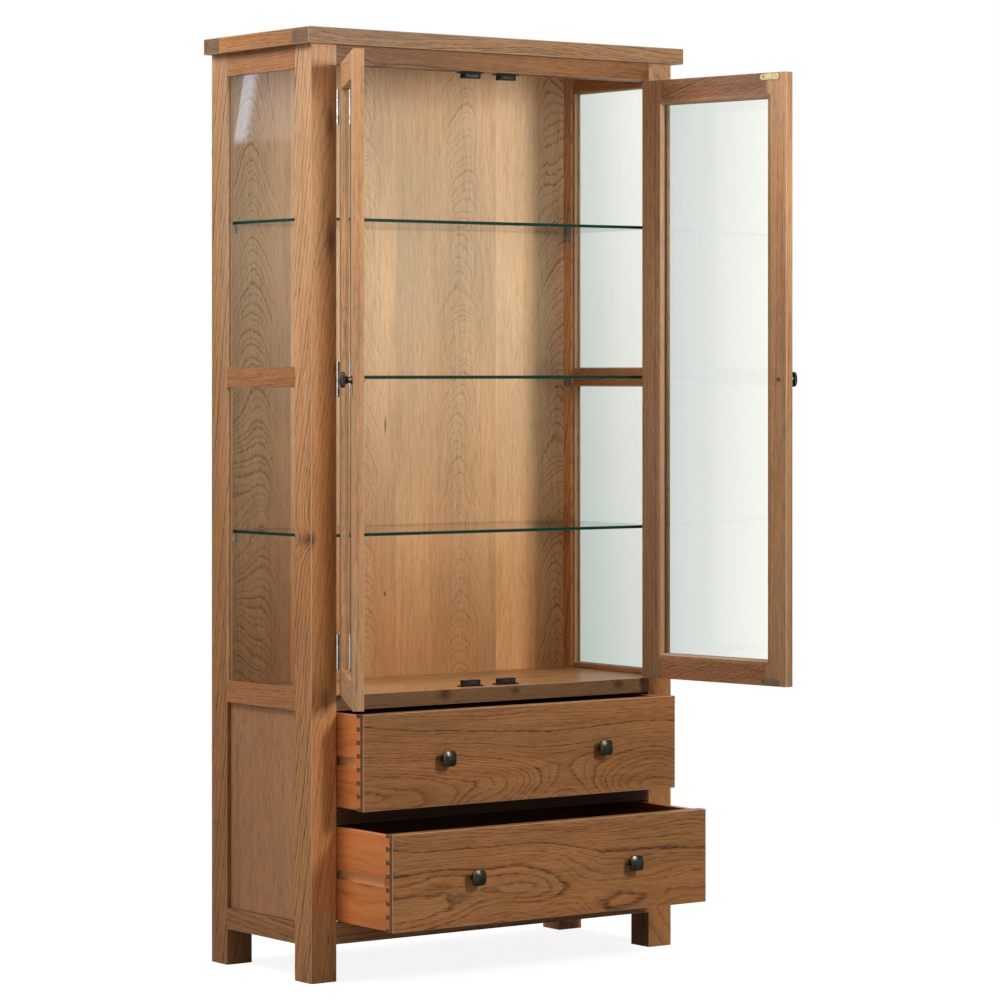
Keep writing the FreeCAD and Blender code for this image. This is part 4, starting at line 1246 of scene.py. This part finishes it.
# What is mirrored behind the cabinet: walls, and a bright strip between two slanted edges.
# An edge is a slope with height and a start, in steps to the right for one to the back
WALL_LEVELS = (0.0580, 0.0603)
LOW_WALL = (0.06, 0.062, 0.065, 1.0)
HIGH_WALL = (0.4, 0.44, 0.5, 1.0)
STRIP_COLOUR = (1.9, 2.3, 2.9, 1.0)
STRIP_NEAR_EDGE = (-0.207, -0.6157)
STRIP_FAR_EDGE = (-0.238, -0.6196)
NEAR_EDGE_BLEND = 0.0006
FAR_EDGE_BLEND = 0.0028
LEAST_BACKWARD = 0.05
SIDE_MIDDLE = 0.1
SIDE_LEVELS = (0.74, 0.84)
SIDE_COLOUR = (0.7, 0.71, 0.7, 1.0)
RIGHT_LEVELS = (0.0, 0.3)
RIGHT_COLOUR = (0.85, 0.86, 0.85, 1.0)

# What is mirrored in front of the cabinet: a grey room with two bright boxes
ROOM_GREY = (0.3, 0.3, 0.3, 1.0)
HIGH_BOX_AIM = (-0.55, -0.62, 0.56)
HIGH_BOX_LEVELS = (0.93, 0.96)
HIGH_BOX_COLOUR = (5.0, 5.0, 5.0, 1.0)
SIDE_BOX_AIM = (-0.96, -0.28, 0.0)
SIDE_BOX_LEVELS = (0.84, 0.9)
SIDE_BOX_COLOUR = (2.6, 2.6, 2.5, 1.0)
FRONT_TO_BACK_LEVELS = (-0.1, 0.1)

# Between no bounce and one
FIRST_BOUNCE = 0.5


def soft_light(graph, rightward, backward, height):
    """Pale light for the wood: most from the left behind, some from the front and above."""
    behind = graph.remap(backward, *BEHIND_LEVELS, smooth=True)
    from_left = graph.times(graph.math("MAXIMUM", graph.times(rightward, -1.0), 0.0), behind)
    from_front = graph.math("MAXIMUM", graph.times(backward, -1.0), 0.0)
    from_above = graph.math("MAXIMUM", height, 0.0)
    level = graph.fused(from_left, SOFT_FROM_LEFT, SOFT_LEAST)
    level = graph.fused(from_front, SOFT_FROM_FRONT, level)
    level = graph.fused(from_above, SOFT_FROM_ABOVE, level)
    return graph.combine(level, level, graph.times(level, SOFT_BLUE))


def mirrored_behind(graph, rightward, backward, height):
    """What glass and metal mirror of the studio behind the cabinet."""
    above_wall = graph.remap(height, *WALL_LEVELS)
    slant = graph.math("DIVIDE", rightward, graph.math("MAXIMUM", backward, LEAST_BACKWARD))
    before_near = graph.math("SUBTRACT", graph.fused(height, *STRIP_NEAR_EDGE), slant)
    past_far = graph.math("SUBTRACT", slant, graph.fused(height, *STRIP_FAR_EDGE))
    inside = graph.times(
        graph.remap(before_near, 0.0, NEAR_EDGE_BLEND),
        graph.remap(past_far, 0.0, FAR_EDGE_BLEND),
    )
    colour = graph.mix(above_wall, LOW_WALL, HIGH_WALL)
    colour = graph.mix(graph.times(inside, above_wall), colour, STRIP_COLOUR)
    sideways = graph.math("ABSOLUTE", graph.plus(rightward, -SIDE_MIDDLE))
    colour = graph.mix(graph.remap(sideways, *SIDE_LEVELS), colour, SIDE_COLOUR)
    return graph.mix(graph.remap(rightward, *RIGHT_LEVELS), colour, RIGHT_COLOUR)


def mirrored_in_front(graph, direction):
    """What glass and metal mirror of the studio in front of the cabinet."""
    high_box = graph.remap(graph.along(direction, HIGH_BOX_AIM), *HIGH_BOX_LEVELS)
    colour = graph.mix(high_box, ROOM_GREY, HIGH_BOX_COLOUR)
    side_box = graph.remap(graph.along(direction, SIDE_BOX_AIM), *SIDE_BOX_LEVELS)
    return graph.mix(side_box, colour, SIDE_BOX_COLOUR)


def make_world():
    """White for the camera, a pale studio for glass and metal, and soft light."""
    world = bpy.data.worlds.new("studio")
    bpy.context.scene.world = world
    world.use_nodes = True
    graph = Graph(world.node_tree)
    rays = graph.add("ShaderNodeLightPath").outputs
    direction = graph.add("ShaderNodeTexCoord").outputs["Generated"]
    rightward, backward, height = graph.separate(direction)
    soft = soft_light(graph, rightward, backward, height)
    behind = mirrored_behind(graph, rightward, backward, height)
    front = mirrored_in_front(graph, direction)
    mirrored = graph.mix(graph.remap(backward, *FRONT_TO_BACK_LEVELS), front, behind)
    reflected = graph.math("GREATER_THAN", rays["Glossy Depth"], FIRST_BOUNCE)
    undiffused = graph.math("LESS_THAN", rays["Diffuse Depth"], FIRST_BOUNCE)
    colour = graph.mix(graph.times(reflected, undiffused), soft, mirrored)
    unmirrored = graph.math("LESS_THAN", rays["Glossy Depth"], FIRST_BOUNCE)
    seen_through = graph.times(rays["Is Transmission Ray"], unmirrored)
    colour = graph.mix(seen_through, colour, WHITE)
    colour = graph.mix(rays["Is Camera Ray"], colour, WHITE)
    background = graph.add("ShaderNodeBackground", {"Color": colour, "Strength": 1.0})
    graph.add("ShaderNodeOutputWorld", {"Surface": background.outputs[0]})


def softbox(name, place, target, width, height, power, tint=WHITE[:3]):
    """A rectangular lamp at a place, aimed at a target."""
    data = bpy.data.lights.new(name, "AREA")
    data.shape = "RECTANGLE"
    data.size = width
    data.size_y = height
    data.energy = power
    data.color = tint
    lamp = bpy.data.objects.new(name, data)
    bpy.context.scene.collection.objects.link(lamp)
    lamp.location = place
    aim = Vector(target) - Vector(place)
    lamp.rotation_euler = aim.to_track_quat("-Z", "Y").to_euler()


# The camera as fitted to the photograph, with its heading in degrees
CAMERA_PLACE = (-4.4580, -6.3146, 1.1504)
CAMERA_HEADING = -36.036
CAMERA_LENS = 140.4
CAMERA_SHIFT = -0.1276
SENSOR_WIDTH = 36.0


def make_camera():
    """The camera at the photograph's place, level, with a lens shifted down."""
    data = bpy.data.cameras.new("camera")
    data.sensor_width = SENSOR_WIDTH
    data.lens = CAMERA_LENS
    data.shift_y = CAMERA_SHIFT
    camera = bpy.data.objects.new("camera", data)
    bpy.context.scene.collection.objects.link(camera)
    camera.location = CAMERA_PLACE
    camera.rotation_euler = (math.radians(90), 0.0, math.radians(CAMERA_HEADING))
    bpy.context.scene.camera = camera


make_floor()
make_world()
softbox(
    "key",
    place=(0.56, -2.5, 1.72),
    target=(0.0, 0.0, 1.2),
    width=0.32,
    height=0.8,
    power=31.0,
    tint=(1.0, 0.985, 0.955),
)
softbox(
    "left",
    place=(-1.75, 0.55, 2.6),
    target=(-0.43, 0.0, 1.4),
    width=0.8,
    height=0.8,
    power=28.0,
)
make_camera()
bpy.context.scene.view_settings.view_transform = "Standard"
